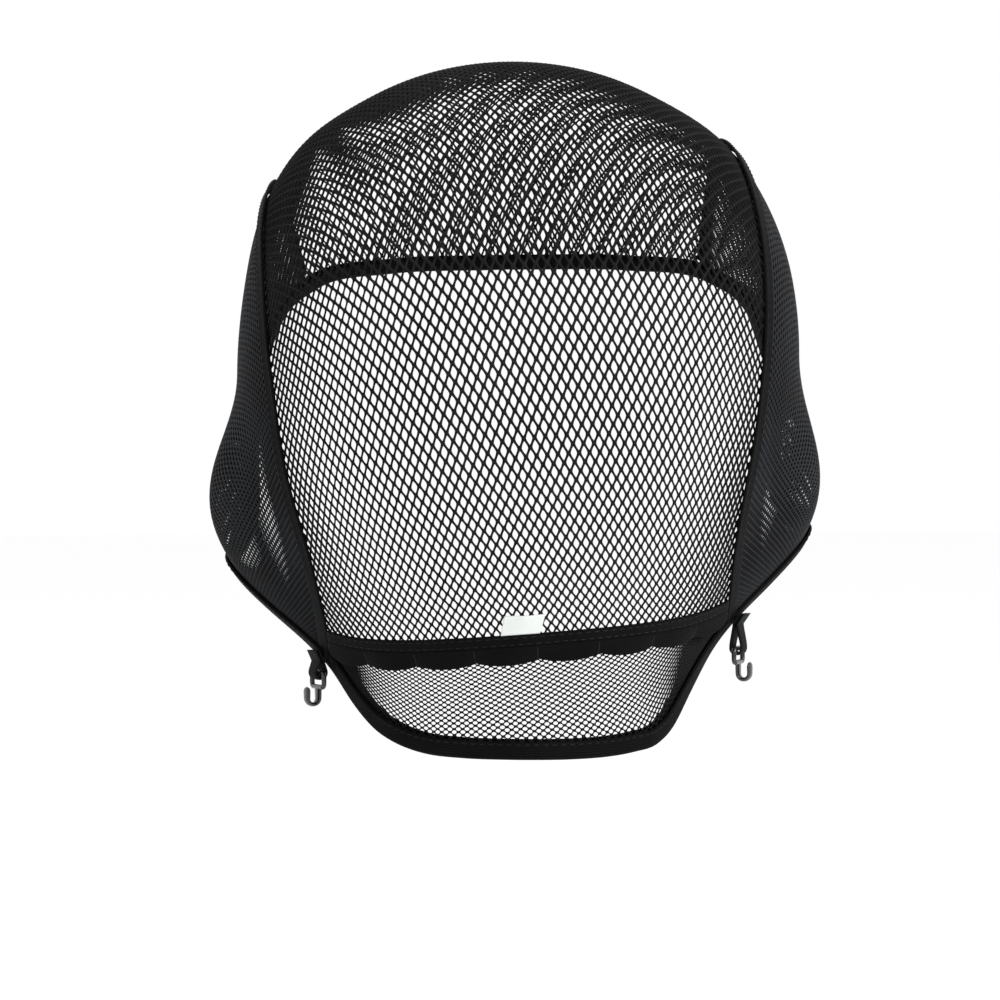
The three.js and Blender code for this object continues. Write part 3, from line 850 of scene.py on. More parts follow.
class Finish(Enum):
    """The finishes of the cap's pieces and of the floor."""

    CROWN_YARN = YarnFinish("crown_yarn", (0.003, 0.0028, 0.003), (0.007, 0.0065, 0.007))
    NAPE_YARN = YarnFinish("nape_yarn", (0.003, 0.0028, 0.0028), (0.007, 0.0065, 0.0065))
    SIDE_YARN = YarnFinish("side_yarn", (0.0025, 0.0028, 0.0035), (0.007, 0.008, 0.01), sheen=0.045)
    TAPE = WovenFinish("black_tape", *BLACK_WEAVE)
    BINDING = WovenFinish("black_binding", *BLACK_WEAVE, rib=0.8, pick=0.5)
    ELASTIC = WovenFinish(
        "black_elastic", (0.003, 0.0034, 0.0038), (0.01, 0.011, 0.012), rib=0.7, relief=0.8,
    )
    SATIN = WovenFinish(
        "white_satin", (0.5, 0.52, 0.505), (0.6, 0.62, 0.605), rib=0.18, pick=0.3, roughness=0.38, shine=0.4,
        relief=0.25,
    )
    THREAD = YarnFinish(
        "black_thread", (0.004, 0.004, 0.0045), (0.009, 0.009, 0.01), roughness=0.5, fibre=0.15,
    )
    GLOSS = GlossFinish("black_gloss", (0.002, 0.0022, 0.0025), (0.006, 0.0065, 0.007))
    FLOOR = StageFinish("pale_floor", (0.985, 0.985, 0.985))

    @property
    def material(self) -> bpy.types.Material:
        """The finish's material, made when it is first asked for."""
        return bpy.data.materials.get(self.value.name) or self.value.material()


def publish(bm: bmesh.types.BMesh, name: str, finish: Finish) -> bpy.types.Object:
    """Turns a finished bmesh in millimetres into a smooth object in metres.

    Args:
        bm: the shape, which is freed.
        name: name of the piece.
        finish: what it is made of.

    Returns:
        The object.
    """
    bmesh.ops.scale(bm, vec=(MM, MM, MM), verts=bm.verts[:])
    mesh = bpy.data.meshes.new(name)
    bm.to_mesh(mesh)
    bm.free()
    mesh.shade_smooth()
    mesh.materials.append(finish.material)
    piece = bpy.data.objects.new(name, mesh)
    bpy.context.scene.collection.objects.link(piece)
    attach(piece, "root")
    log.info("%s: %d faces", name, len(mesh.polygons))
    return piece


def grid(columns: int, rows: int) -> bmesh.types.BMesh:
    """A flat grid with its corners at whole numbers, from nought up.

    Args:
        columns: cells along x.
        rows: cells along y.

    Returns:
        The grid.
    """
    bm = bmesh.new()
    bmesh.ops.create_grid(bm, x_segments=columns, y_segments=rows, size=0.5)
    bmesh.ops.translate(bm, vec=(0.5, 0.5, 0), verts=bm.verts[:])
    bmesh.ops.scale(bm, vec=(columns, rows, 1), verts=bm.verts[:])
    return bm


def join(bm: bmesh.types.BMesh, other: bmesh.types.BMesh) -> None:
    """Adds another bmesh to this one.

    Args:
        bm: the bmesh that grows.
        other: the bmesh that is added, which is freed.
    """
    mesh = bpy.data.meshes.new("joined")
    other.to_mesh(mesh)
    other.free()
    bm.from_mesh(mesh)
    bpy.data.meshes.remove(mesh)


def coordinates(bm: bmesh.types.BMesh) -> Array:
    """Places of a bmesh's vertices as an array."""
    return np.array([vert.co for vert in bm.verts], float).reshape(-1, 3)


def move(bm: bmesh.types.BMesh, places: Array) -> None:
    """Moves a bmesh's vertices to new places."""
    for vert, place in zip(bm.verts, places.tolist()):
        vert.co = place


def laid(points: Array, marks: tuple[Array, Array] | None = None) -> bmesh.types.BMesh:
    """A sheet through rows of places.

    Args:
        points: the places, as columns by rows.
        marks: the UV map's coordinates of the columns and of the rows, where the sheet has one.

    Returns:
        The sheet.
    """
    bm = grid(points.shape[0] - 1, points.shape[1] - 1)
    cells = np.round(coordinates(bm)).astype(int)
    if marks:
        layer = bm.loops.layers.uv.new("cloth")
        for face in bm.faces:
            for loop in face.loops:
                i, j = (round(value) for value in loop.vert.co[:2])
                loop[layer].uv = (marks[0][i], marks[1][j])
    move(bm, points[cells[:, 0], cells[:, 1]])
    return bm


def closed(bm: bmesh.types.BMesh) -> bmesh.types.BMesh:
    """Turns a sheet whose first and last rows meet into a bar with closed ends.

    Args:
        bm: the sheet.

    Returns:
        The same bmesh, with its faces pointing out.
    """
    bmesh.ops.remove_doubles(bm, verts=bm.verts[:], dist=MERGE)
    bmesh.ops.holes_fill(bm, edges=[edge for edge in bm.edges if edge.is_boundary], sides=0)
    bmesh.ops.recalc_face_normals(bm, faces=bm.faces[:])
    return bm


def declare(node: str) -> None:
    """Hides the solid that a piece of cloth stands for.

    Args:
        node: the solid that it stands for.
    """
    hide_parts(node)


class ClothMap:
    """Places and normals over a piece of cloth on the head, at the corners and middles of its cells."""

    def __init__(self, head: HeadForm, towards: Array) -> None:
        """Casts the cloth's nodes on the head.

        Args:
            head: the head.
            towards: places near the head, as columns by rows, two to a cell.
        """
        self.points = head.cast(head.middle, unit(towards - head.middle))
        self.normals = head.normal(self.points)

    def at(self, u: Array, v: Array, lift: Array) -> Array:
        """Places on the cloth.

        Args:
            u: places across, in cells.
            v: places along, in cells.
            lift: distance off the head.

        Returns:
            The places.
        """
        last = np.array(self.points.shape[:2]) - 1
        x, y = np.clip(2 * u, 0, last[0]), np.clip(2 * v, 0, last[1])
        i, j = np.minimum(x.astype(int), last[0] - 1), np.minimum(y.astype(int), last[1] - 1)
        s, t = (x - i)[:, None], (y - j)[:, None]

        def read(values: Array) -> Array:
            """Values between the four corners round each place."""
            low = lerp(values[i, j], values[i + 1, j], s)
            return lerp(low, lerp(values[i, j + 1], values[i + 1, j + 1], s), t)

        return read(self.points) + read(self.normals) * lift[:, None]

    def size(self) -> tuple[float, float]:
        """Mean width and length of the cloth.

        Returns:
            Both in metres.
        """
        across = np.linalg.norm(np.diff(self.points, axis=0), axis=-1).sum(axis=0).mean()
        along = np.linalg.norm(np.diff(self.points, axis=1), axis=-1).sum(axis=1).mean()
        return float(across) * MM, float(along) * MM


class HoleShape(Enum):
    """Outlines of a net's holes."""

    LENS = "lens"
    ROUND = "round"


@dataclass
class Net:
    """A panel of net, as closed threads round its holes."""

    name: str
    lines: CapLines
    columns: int
    rows: int
    finish: Finish
    slot: str
    node: str
    thread: float = 0.72
    knot: float = 1.25
    inset: float = 0.1
    yarn_share: float = 0.8

    def towards(self, u: Array, v: Array) -> Array:
        """Places near the head for shares across and along the panel."""
        raise NotImplementedError

    @cached_property
    def cloth(self) -> ClothMap:
        """The panel's places on the head, two to a cell each way."""
        u, v = (np.linspace(0, 1, 2 * cells + 1) for cells in (self.columns, self.rows))
        return ClothMap(self.lines.head, self.towards(u, v))

    def pierce(self, bm: bmesh.types.BMesh, holes: list[bmesh.types.BMFace]) -> None:
        """Opens holes in a flat sheet, and lifts the threads between them along their middle lines.

        Args:
            bm: the sheet.
            holes: the faces that are opened, each inside a rim that stays at nought.
        """
        border = {vert for edge in bm.edges if edge.is_boundary for vert in edge.verts}
        bmesh.ops.inset_individual(bm, faces=holes, thickness=self.inset)
        rims = {vert for face in holes for vert in face.verts}
        bmesh.ops.delete(bm, geom=holes, context="FACES_ONLY")
        for vert in bm.verts:
            vert.co.z = 0 if vert in rims or vert in border else 1

    @staticmethod
    def thicken(bm: bmesh.types.BMesh) -> None:
        """Gives flat threads, which are upper halves of their section, their lower halves too.

        Args:
            bm: the threads.
        """
        bare = [face for face in bm.faces if max(vert.co.z for vert in face.verts) < NEAR]
        bmesh.ops.delete(bm, geom=bare, context="FACES")
        copy = bmesh.ops.duplicate(bm, geom=bm.verts[:] + bm.edges[:] + bm.faces[:])["geom"]
        verts = [item for item in copy if isinstance(item, bmesh.types.BMVert)]
        bmesh.ops.scale(bm, vec=(1, 1, -1), verts=verts)
        bmesh.ops.reverse_faces(bm, faces=[item for item in copy if isinstance(item, bmesh.types.BMFace)])
        bmesh.ops.remove_doubles(bm, verts=bm.verts[:], dist=MERGE)

    def declare(self, piece: bpy.types.Object, flat: tuple[float, float]) -> None:
        """Says how the net was cut, whose area is the share of the cut that is yarn.
        """
        declare(self.node)
        covered = sum(face.area for face in piece.data.polygons) / 2 / (flat[0] * flat[1])
        log.info("%s: flat %.3f by %.3f m, yarn's own surface %.2f of it", piece.name, *flat, covered)


@dataclass
class DiamondNet(Net):
    """Net of crossing threads with staggered holes, two to a cell."""

    shape: HoleShape = HoleShape.LENS
    cuts: int = 2
    hole_width: float = 0.58
    hole_height: float = 0.72
    bulge: float = 1.45
    middle_lift: float = 0.5
    turn: float = 3
    margin: int = 6

    def lattice(self, columns: tuple[int, int]) -> bmesh.types.BMesh:
        """Flat threads in cells, in upper halves, with their rims at nought and their middle lines lifted.

        Args:
            columns: first and last column that are kept.

        Returns:
            The threads, which reach past the panel by the margin.
        """
        margin = self.margin
        bm = grid(self.columns + 2 * margin, self.rows + 2 * margin)
        bmesh.ops.translate(bm, vec=(-margin, -margin, 0), verts=bm.verts[:])
        lines = [edge for edge in bm.edges if not edge.is_boundary]
        bmesh.ops.poke(bm, faces=bm.faces[:])
        bmesh.ops.dissolve_edges(bm, edges=lines)
        bmesh.ops.bisect_edges(bm, edges=bm.edges[:], cuts=self.cuts)
        self.pierce(bm, [face for face in bm.faces if len(face.verts) == 4 * (self.cuts + 1)])
        move(bm, self.rounded(coordinates(bm)))
        low, high = columns
        strays = [face for face in bm.faces if not low < face.calc_center_median().x < high]
        bmesh.ops.delete(bm, geom=strays, context="FACES")
        return bm

    def rounded(self, flat: Array) -> Array:
        """Moves the holes' rims to the outline of the real holes, and thickens the knots.

        Args:
            flat: places in cells, with the share of the thread's thickness last.

        Returns:
            The places in cells.
        """
        u, v, lift = flat.T
        level = np.stack([np.floor(u) + 0.5, np.round(v)], axis=-1)
        upright = np.stack([np.round(u), np.floor(v) + 0.5], axis=-1)
        far = [np.abs(flat[:, :2] - centre).sum(axis=1) for centre in (level, upright)]
        centre = np.where((far[0] < far[1])[:, None], level, upright)
        offset = flat[:, :2] - centre
        reach = np.abs(offset)
        steps = self.cuts + 1
        share = np.round(steps * reach[:, 1] / np.maximum(reach.sum(axis=1), TINY)) / steps
        if self.shape is HoleShape.LENS:
            wide, high = 1 - share ** self.bulge, share
        else:
            power = 2 / self.bulge
            wide = np.cos(share * math.pi / 2) ** power
            high = np.sin(share * math.pi / 2) ** power
        size = np.stack([wide * self.hole_width, high * self.hole_height], axis=-1) / 2
        result = flat.copy()
        rim = lift < 0.5
        result[rim, :2] = (centre + np.sign(offset) * size)[rim]
        knots = (np.abs(2 * u - np.round(2 * u)) < NEAR) & (np.abs(2 * v - np.round(2 * v)) < NEAR)
        result[knots & ~rim, 2] = self.knot
        return result

    def turned(self, flat: Array) -> Array:
        """Turns the lattice about the panel's middle, as its threads run in the real net.

        Args:
            flat: places in cells, with the share of the thread's thickness last.

        Returns:
            The turned places.
        """
        width, length = self.cloth.size()
        pitch = np.array([width / self.columns, length / self.rows])
        middle = np.array([self.columns, self.rows]) / 2
        across, along = ((flat[:, :2] - middle) * pitch).T
        angle = math.radians(self.turn)
        turned = np.stack([
            across * math.cos(angle) + along * math.sin(angle),
            along * math.cos(angle) - across * math.sin(angle),
        ], axis=-1)
        return np.concatenate([turned / pitch + middle, flat[:, 2:]], axis=-1)

    def trim(self, bm: bmesh.types.BMesh) -> None:
        """Cuts the flat lattice to the panel, with its cut threads pressed flat.

        Args:
            bm: the lattice.
        """
        high = (self.columns, self.rows)
        for axis in (0, 1):
            for level, sign in ((0, -1), (high[axis], 1)):
                place, normal = Vector(), Vector()
                place[axis], normal[axis] = level, sign
                geom = bm.verts[:] + bm.edges[:] + bm.faces[:]
                bmesh.ops.bisect_plane(bm, geom=geom, plane_co=place, plane_no=normal, clear_outer=True)
        for vert in bm.verts:
            inset = min(vert.co.x, high[0] - vert.co.x, vert.co.y, high[1] - vert.co.y)
            if inset < NEAR:
                vert.co.z = 0

    def build(self, columns: tuple[int, int], name: str) -> bpy.types.Object:
        """Makes the part of the net between two columns.

        Args:
            columns: first and last column.
            name: the piece's name.

        Returns:
            The piece.
        """
        bm = self.lattice(columns)
        move(bm, self.turned(coordinates(bm)))
        self.trim(bm)
        self.thicken(bm)
        bmesh.ops.holes_fill(bm, edges=[edge for edge in bm.edges if edge.is_boundary], sides=8)
        flat = coordinates(bm)
        move(bm, self.cloth.at(flat[:, 0], flat[:, 1], self.middle_lift + flat[:, 2] * self.thread / 2))
        bmesh.ops.recalc_face_normals(bm, faces=bm.faces[:])
        return publish(bm, name, self.finish)


@dataclass
class CrownNet(DiamondNet):
    """Coarse net from the forehead over the top down to the back tape."""

    yarn_share: float = 0.6
    spreading: float = 0.043
    half_spread: float = 45
    per_degree: float = 1.7

    def towards(self, u: Array, v: Array) -> Array:
        """Places near the head over the panel, whose cells are wider at its sides.

        Args:
            u: shares of the way from the left seam to the right one.
            v: shares of the way from the face to the back tape.

        Returns:
            The places, as columns by rows.
        """
        lines = self.lines
        share = 2 * u - 1
        spread = share * (1 - self.spreading + self.spreading * share ** 2)
        across = spread * (1 - lines.layer_gap / (math.radians(self.half_spread) * lines.head.back))
        face, back = lines.face_turn(across), lines.tape_turn(across) - lines.layer_gap / self.per_degree
        way = CROWN_SPACING.read("way", "rows", v)
        return lines.crown(across[:, None], lerp(face[:, None], back[:, None], way[None]))

    def make(self) -> list[bpy.types.Object]:
        """Makes the two halves, which meet in the knots of one column.

        Returns:
            The halves.
        """
        width, length = self.cloth.size()
        middle = self.columns // 2
        halves = (("left", -self.margin, middle), ("right", middle, self.columns + self.margin))
        pieces = []
        for name, *columns in halves:
            piece = self.build(columns, f"{self.name}_{name}")
            self.declare(piece, (width / 2, length))
            pieces.append(piece)
        return pieces


@dataclass
class NapeNet(DiamondNet):
    """Fine net between the back tape and the bound edge at the nape."""

    def towards(self, u: Array, v: Array) -> Array:
        """Places near the head over the panel.

        Args:
            u: shares of the way from the left corner to the right one.
            v: shares of the way from the back tape to the edge.

        Returns:
            The places, as columns by rows.
        """
        lines = self.lines
        across = (2 * u - 1) * (1 - lines.corner_trim / lines.head.back)
        trimmed = [
            turn - side * lines.corner_trim / lines.per_unit(lines.edge, turn)
            for side, turn in lines.corners.items()
        ]
        turns = evenly(lines.edge, *trimmed, len(u) - 1)
        top = lines.beside(lines.tape, across, np.full_like(across, -lines.layer_gap), 0.0)
        low = lines.beside(lines.edge, turns, np.full_like(turns, lines.net_inset), 0.0)
        return fan(lines.head, top, low, v)

    def make(self) -> list[bpy.types.Object]:
        """Makes the net.

        Returns:
            It is one piece.
        """
        piece = self.build((-self.margin, self.columns + self.margin), self.name)
        self.declare(piece, self.cloth.size())
        return [piece]


def fan(head: HeadForm, first: Array, second: Array, share: Array) -> Array:
    """Places between two lines on the head, as seen from its middle."""
    start, end = (unit(line - head.middle)[:, None] for line in (first, second))
    return head.middle + lerp(start, end, share[None, :, None])


@dataclass
class SideNet(Net):
    """Dense net over one ear, in two layers of square mesh that are a little out of step."""

    side: int = RIGHT
    inset: float = 0.2
    mesh_width: float = 0.44
    mesh_height: float = 0.52
    middle_lift: float = 0.72
    under_lift: float = 0.26
    under_columns: int = 43
    under_rows: int = 108

    def towards(self, u: Array, v: Array) -> Array:
        """Places near the head over the panel.

        Args:
            u: shares of the way from the seam to the edge.
            v: shares of the way from the face to the nape.

        Returns:
            The places, as columns by rows.
        """
        lines, side = self.lines, self.side
        seam = lines.seam(side)
        face = float(lines.face_turn(np.array([float(side)]))[0])
        nape = lines.nape_turn(side)
        turns = evenly(seam, face, nape - lines.net_inset / lines.per_unit(seam, nape), len(v) - 1)
        trimmed = [
            corner + sign * side * lines.corner_trim / lines.per_unit(lines.edge, corner)
            for corner, sign in ((lines.face_corners[side], -1), (lines.corners[side], 1))
        ]
        edges = evenly(lines.edge, *trimmed, len(v) - 1)
        top = lines.beside(seam, turns, np.full_like(turns, side * lines.layer_gap), 0.0)
        low = lines.beside(lines.edge, edges, np.full_like(edges, lines.net_inset), 0.0)
        return fan(lines.head, top, low, u).transpose(1, 0, 2)

    def layer(self, columns: int, rows: int, middle_lift: float) -> bmesh.types.BMesh:
        """One layer of square mesh on the head.

        Args:
            columns: cells across the panel.
            rows: cells along it.
            middle_lift: distance of its middle from the head.

        Returns:
            The layer.
        """
        bm = grid(columns, rows)
        self.pierce(bm, bm.faces[:])
        self.thicken(bm)
        flat = coordinates(bm)
        centre = np.floor(flat[:, :2]) + 0.5
        rim = ~(np.abs(flat[:, :2] - np.round(flat[:, :2])) < NEAR).any(axis=1)
        half = np.array([self.mesh_width, self.mesh_height]) / 2
        flat[rim, :2] = (centre + np.sign(flat[:, :2] - centre) * half)[rim]
        u, v = flat[:, 0] * self.columns / columns, flat[:, 1] * self.rows / rows
        move(bm, self.cloth.at(u, v, middle_lift + flat[:, 2] * self.thread / 2))
        bmesh.ops.recalc_face_normals(bm, faces=bm.faces[:])
        return bm

    def make(self) -> list[bpy.types.Object]:
        """Makes both layers.

        Returns:
            The upper layer and the one under it.
        """
        layers = (
            (self.name, self.layer(self.columns, self.rows, self.middle_lift)),
            (f"{self.name}_under", self.layer(self.under_columns, self.under_rows, self.under_lift)),
        )
        pieces = [publish(bm, name, self.finish) for name, bm in layers]
        for piece in pieces:
            self.declare(piece, self.cloth.size())
        return pieces


def rounded_section(width: float, low: float, high: float, square: float = 5, points: int = 20) -> Array:
    """Closed section of a flat strip with soft corners.

    Args:
        width: the strip's width.
        low: lift of its underside.
        high: lift of its upper side.
        square: how square its corners are, from 2 on an oval up.
        points: how many places there are round it.

    Returns:
        Place across and lift of each place round it, the first one twice.
    """
    angle = np.linspace(0, 2 * math.pi, points + 1)
    power = 2 / square
    x = np.sign(np.cos(angle)) * np.abs(np.cos(angle)) ** power * width / 2
    y = np.sign(np.sin(angle)) * np.abs(np.sin(angle)) ** power * (high - low) / 2
    return np.stack([x, y + (high + low) / 2], axis=-1)


# A folded strip has FOLD_PLACES places round either side of its fold, and each of its leaves has places
# at LEAF_SHARES of the way from there to its edge.
FOLD_PLACES = 9
LEAF_SHARES = np.linspace(0.2, 0.85, 3)


def folded_section(
    width: float, nose: float, lift: float, gap: float, wall: float, lip: float = 0.15,
    lip_drop: float = 0.08,
) -> Array:
    """Closed section of a strip folded over an edge.

    Args:
        width: from the fold to its two edges.
        nose: from the fold to the edge inside it.
        lift: underside of its upper leaf.
        gap: from the head to its lower leaf.
        wall: the strip's thickness.
        lip: how far its edges are rounded, as a share of the wall.
        lip_drop: how far they lie in from its faces there, as a share of the wall.

    Returns:
        Place in from the fold and lift of each place round it, the first one twice.
    """
    middle, half = (lift - gap) / 2, (lift + gap) / 2 + wall
    depth = nose + wall / 2
    angle = np.radians(np.linspace(-90, 90, FOLD_PLACES))
    ahead, up = np.cos(angle), np.sin(angle)
    outer = np.stack([depth * (1 - ahead), middle + half * up], axis=-1)
    inner = np.stack([depth + (wall - depth) * ahead, middle + (half - wall) * up], axis=-1)
    run = lerp(depth, width, LEAF_SHARES)
    top_out = np.stack([run, np.full_like(run, middle + half)], axis=-1)
    top_in = np.stack([run[::-1], np.full_like(run, middle + half - wall)], axis=-1)
    rounding = [[lip, lip_drop], [0, 0.5], [lip, 1 - lip_drop]]
    edge = [width, middle + half] - wall * np.array(rounding)
    low_in, low_edge, low_out = (
        row[::-1] * [1, -1] + [0, 2 * middle] for row in (top_in, edge, top_out)
    )
    loop = np.concatenate([outer, top_out, edge, top_in, inner[::-1], low_in, low_edge, low_out])
    return np.concatenate([loop, loop[:1]])


@dataclass
class Strip:
    """A long narrow piece of cloth with the same section all along."""

    name: str
    finish: Finish
    slot: str
    node: str
    length: float

    def make(self, points: Array, flat_width: float) -> bpy.types.Object:
        """Closes the strip round its section and at its ends.

        Args:
            points: places, as stations along the strip by the places of its section.
            flat_width: width of the cut in millimetres, which is not used.

        Returns:
            The piece.
        """
        steps = len(points) - 1
        marks = (np.arange(steps + 1) * self.length / steps, distances(points[steps // 2]))
        piece = publish(closed(laid(points, marks)), self.name, self.finish)
        declare(self.node)
        return piece


@dataclass
class Tapes:
    """Tapes over the seams, across the back, and the tape of loops under it."""

    lines: CapLines
    back_height: float = 3.6
    loop_height: float = 4.6
    loop_count: int = 8
    loop_rise: float = 1.1
    loop_scallop: float = 0.8
    loop_fullness: float = 0.8
    loop_steps: int = 14
    loop_sides: int = 28
    seam_steps: int = 120
    back_steps: int = 96
    seam_search: float = 30
    visual_wall: float = 0.9
    touch: float = 0.03

    def section(self, width: float, points: int = 20) -> Array:
        """Section of a tape that lies on the net."""
        low = self.lines.tape_lift
        return rounded_section(width, low, low + self.visual_wall, points=points)

    def seam(self, side: int) -> bpy.types.Object:
        """Makes the tape over one seam.

        Args:
            side: which seam.

        Returns:
            The piece.
        """
        lines = self.lines
        curve = lines.seam(side)
        face, nape = float(lines.face_turn(np.array([float(side)]))[0]), lines.nape_turn(side)
        first = lines.clear_turn(side, face, face + self.seam_search, lines.face_binding_width)
        last = lines.clear_turn(side, nape, nape - self.seam_search, lines.nape_binding_width)
        turns = evenly(curve, first, last, self.seam_steps)
        points = lines.swept(curve, turns, self.section(lines.seam_tape_width))
        name = SIDE_NAMES[side]
        strip = Strip(
            f"seam_tape_cloth_{name}", Finish.TAPE, "tape", f"seam_tape_{name}", run_length(curve(turns)),
        )
        return strip.make(points, lines.seam_tape_width)

    def back(self) -> bpy.types.Object:
        """Makes the tape that joins the crown to the nape.

        Returns:
            The piece.
        """
        lines = self.lines
        half = self.back_height / 2
        ends = {d: [lines.tape_end(side, d) for side in SIDE_NAMES] for d in (-half, half)}
        section = self.section(self.back_height)
        share = np.linspace(0, 1, self.back_steps + 1)[:, None]
        up = (section[:, 0] / half + 1) / 2
        left, right = (lerp(ends[-half][i], ends[half][i], up) for i in (0, 1))
        points = lines.beside_tape(lerp(left, right, share), section[:, 0], section[:, 1])
        strip = Strip("back_tape_cloth", Finish.TAPE, "tape", "back_tape", run_length(points[:, 0]))
        return strip.make(points, self.back_height)

    def loops(self) -> bpy.types.Object:
        """Makes the tape tacked down at even places, with a loop between each two tacks.

        Returns:
            The piece.
        """
        lines = self.lines
        top = -self.back_height / 2 - self.touch
        full = self.loop_height + self.loop_scallop
        rows = (0, 0.5, 1)
        ends = [[lines.tape_end(side, top - row * full) for side in SIDE_NAMES] for row in rows]
        section = self.section(self.loop_height, self.loop_sides)
        down = 0.5 - section[:, 0] / self.loop_height
        share = np.linspace(0, 1, self.loop_count * self.loop_steps + 1)[:, None]
        slack = np.abs(np.sin(math.pi * share * self.loop_count)) ** self.loop_fullness * down
        left, right = (np.interp(down, rows, [pair[i] for pair in ends]) for i in (0, 1))
        distance = top - down * self.loop_height - slack * self.loop_scallop
        lift = section[:, 1] + slack * self.loop_rise
        points = lines.beside_tape(lerp(left, right, share), distance, lift)
        length = run_length(points[:, 0])
        strip = Strip("hook_loop_tape_cloth", Finish.TAPE, "tape", "hook_loop_tape", length)
        return strip.make(points, self.loop_height)

    def make(self) -> list[bpy.types.Object]:
        """Makes all the tapes."""
        return [self.seam(LEFT), self.seam(RIGHT), self.back(), self.loops()]


@dataclass
class Bindings:
    """Elastic folded over the free edge: a wide one at the nape and a narrow one round the rest."""

    lines: CapLines
    wall: float = 0.9
    fold: float = 2
    nape_steps: int = 90
    face_steps: int = 260

    def folded(self, node: str, width: float, turns: Array) -> bpy.types.Object:
        """Makes one binding.

        Args:
            node: name of the solid that it stands for.
            width: its width when folded.
            turns: places along the edge.

        Returns:
            The piece.
        """
        lines = self.lines
        section = folded_section(width, lines.binding_nose, lines.tape_lift, lines.layer_gap, self.wall)
        points = lines.swept(lines.edge, turns, section)
        strip = Strip(f"{node}_cloth", Finish.BINDING, "binding", node, run_length(lines.edge(turns)))
        return strip.make(points, 2 * width + self.fold)

    def make(self) -> list[bpy.types.Object]:
        """Makes both bindings, which part at the nape corners.

        Returns:
            The pieces.
        """
        lines = self.lines
        left, right = lines.corners[LEFT], lines.corners[RIGHT]
        part = [lines.layer_gap / 2 / lines.per_unit(lines.edge, turn) for turn in (left, right)]
        nape = evenly(lines.edge, left + part[0], right - part[1], self.nape_steps)
        face = evenly(lines.edge, right + part[1], left + 360 - part[0], self.face_steps)
        return [
            self.folded("nape_binding", lines.nape_binding_width, nape),
            self.folded("face_binding", lines.face_binding_width, face),
        ]


@dataclass
class SizeTag:
    """Bare satin tag that stands on the back tape's upper edge."""

    lines: CapLines
    width: float = 9.8
    height: float = 5.8
    offset: float = -4
    lean: float = 1.4
    foot: float = 2.1
    wall: float = 0.35
    stand_off: float = 0.45
    ripple: float = 0.18
    ripple_turn: float = 7
    ripple_start: float = 1.1
    curl: float = 0.35
    curl_middle: float = 0.1
    columns: int = 32
    rows: int = 20

    def make(self) -> bpy.types.Object:
        """Makes the tag with a soft curl towards its free corners.

        Returns:
            The piece.
        """
        lines = self.lines
        share = np.linspace(-0.5, 0.5, self.columns + 1)[:, None]
        up = np.linspace(0, 1, self.rows + 1)
        at = (self.offset + share * self.width + up * self.lean) / lines.per_unit(lines.tape, 0)
        ripple = self.ripple * np.sin(share * self.ripple_turn + self.ripple_start) * up
        curl = self.curl * up ** 2 * (share + self.curl_middle)
        lift = lines.tape_lift + self.stand_off + (ripple + curl)
        marks = ((share[:, 0] + 0.5) * self.width, up * self.height)
        bm = laid(lines.beside_tape(at, self.foot + up * self.height, lift), marks)
        bmesh.ops.solidify(bm, geom=bm.faces[:], thickness=self.wall)
        bmesh.ops.recalc_face_normals(bm, faces=bm.faces[:])
        piece = publish(bm, "size_tag_satin", Finish.SATIN)
        declare("size_tag")
        return piece


@dataclass
class CornerFrame:
    """Where a tab and its hook hang: x out of the head, y up from the cap's edge, z round the head."""

    lines: CapLines
    side: int
    strap_width: float = 7
    overlap: float = 3
    wall: float = 1

    def __post_init__(self) -> None:
        """Works out the corner's directions and how far the head stands out over the tab."""
        lines, head = self.lines, self.lines.head
        self.point = lines.edge(np.array([lines.corners[self.side]]))[0]
        self.out = unit(head.normal(self.point[None])[0] * [1, 1, 0])
        self.round = np.cross([0, 0, 1], self.out)
        places = np.array([-0.5, 0, 0.5])[:, None] * self.strap_width
        base, top = (self.proud(up, places) for up in (0, self.overlap))
        self.slope = (top - base) / self.overlap
        thick = (lines.tape_lift + lines.tape_wall + lines.layer_gap) * math.hypot(1, self.slope)
        self.clear = base + thick + self.wall

    def proud(self, up: float, aside: Array) -> float:
        """Furthest that the head stands out of the corner at a level.

        Args:
            up: the level, from the corner up.
            aside: places round the head that it is looked for at.

        Returns:
            The distance.
        """
        start = self.point - self.out * self.lines.head.breadth / 4 + [0, 0, up] + self.round * aside
        found = self.lines.head.cast(start, np.broadcast_to(self.out, start.shape))
        return float(((found - self.point) @ self.out).max())

    def place(self, p: Array) -> Array:
        """Takes places from the corner's frame to the cap's.

        Args:
            p: places in the corner's frame.

        Returns:
            The places in the cap's.
        """
        away = self.clear + p[..., 0] + np.maximum(p[..., 1], 0) * self.slope
        up = p[..., 1][..., None] * np.array([0, 0, 1])
        return self.point + away[..., None] * self.out + up + p[..., 2][..., None] * self.round


def sideways(path: Array, ring: bool = False) -> Array:
    """Directions square to a path that lies in a plane.

    Args:
        path: the path's places.
        ring: whether it ends where it starts.

    Returns:
        A direction of length one at each of its places.
    """
    along = np.gradient(path, axis=0)
    if ring:
        along[0] = along[-1] = path[1] - path[-2]
    along = unit(along)
    return np.stack([along[:, 1], -along[:, 0]], axis=-1)


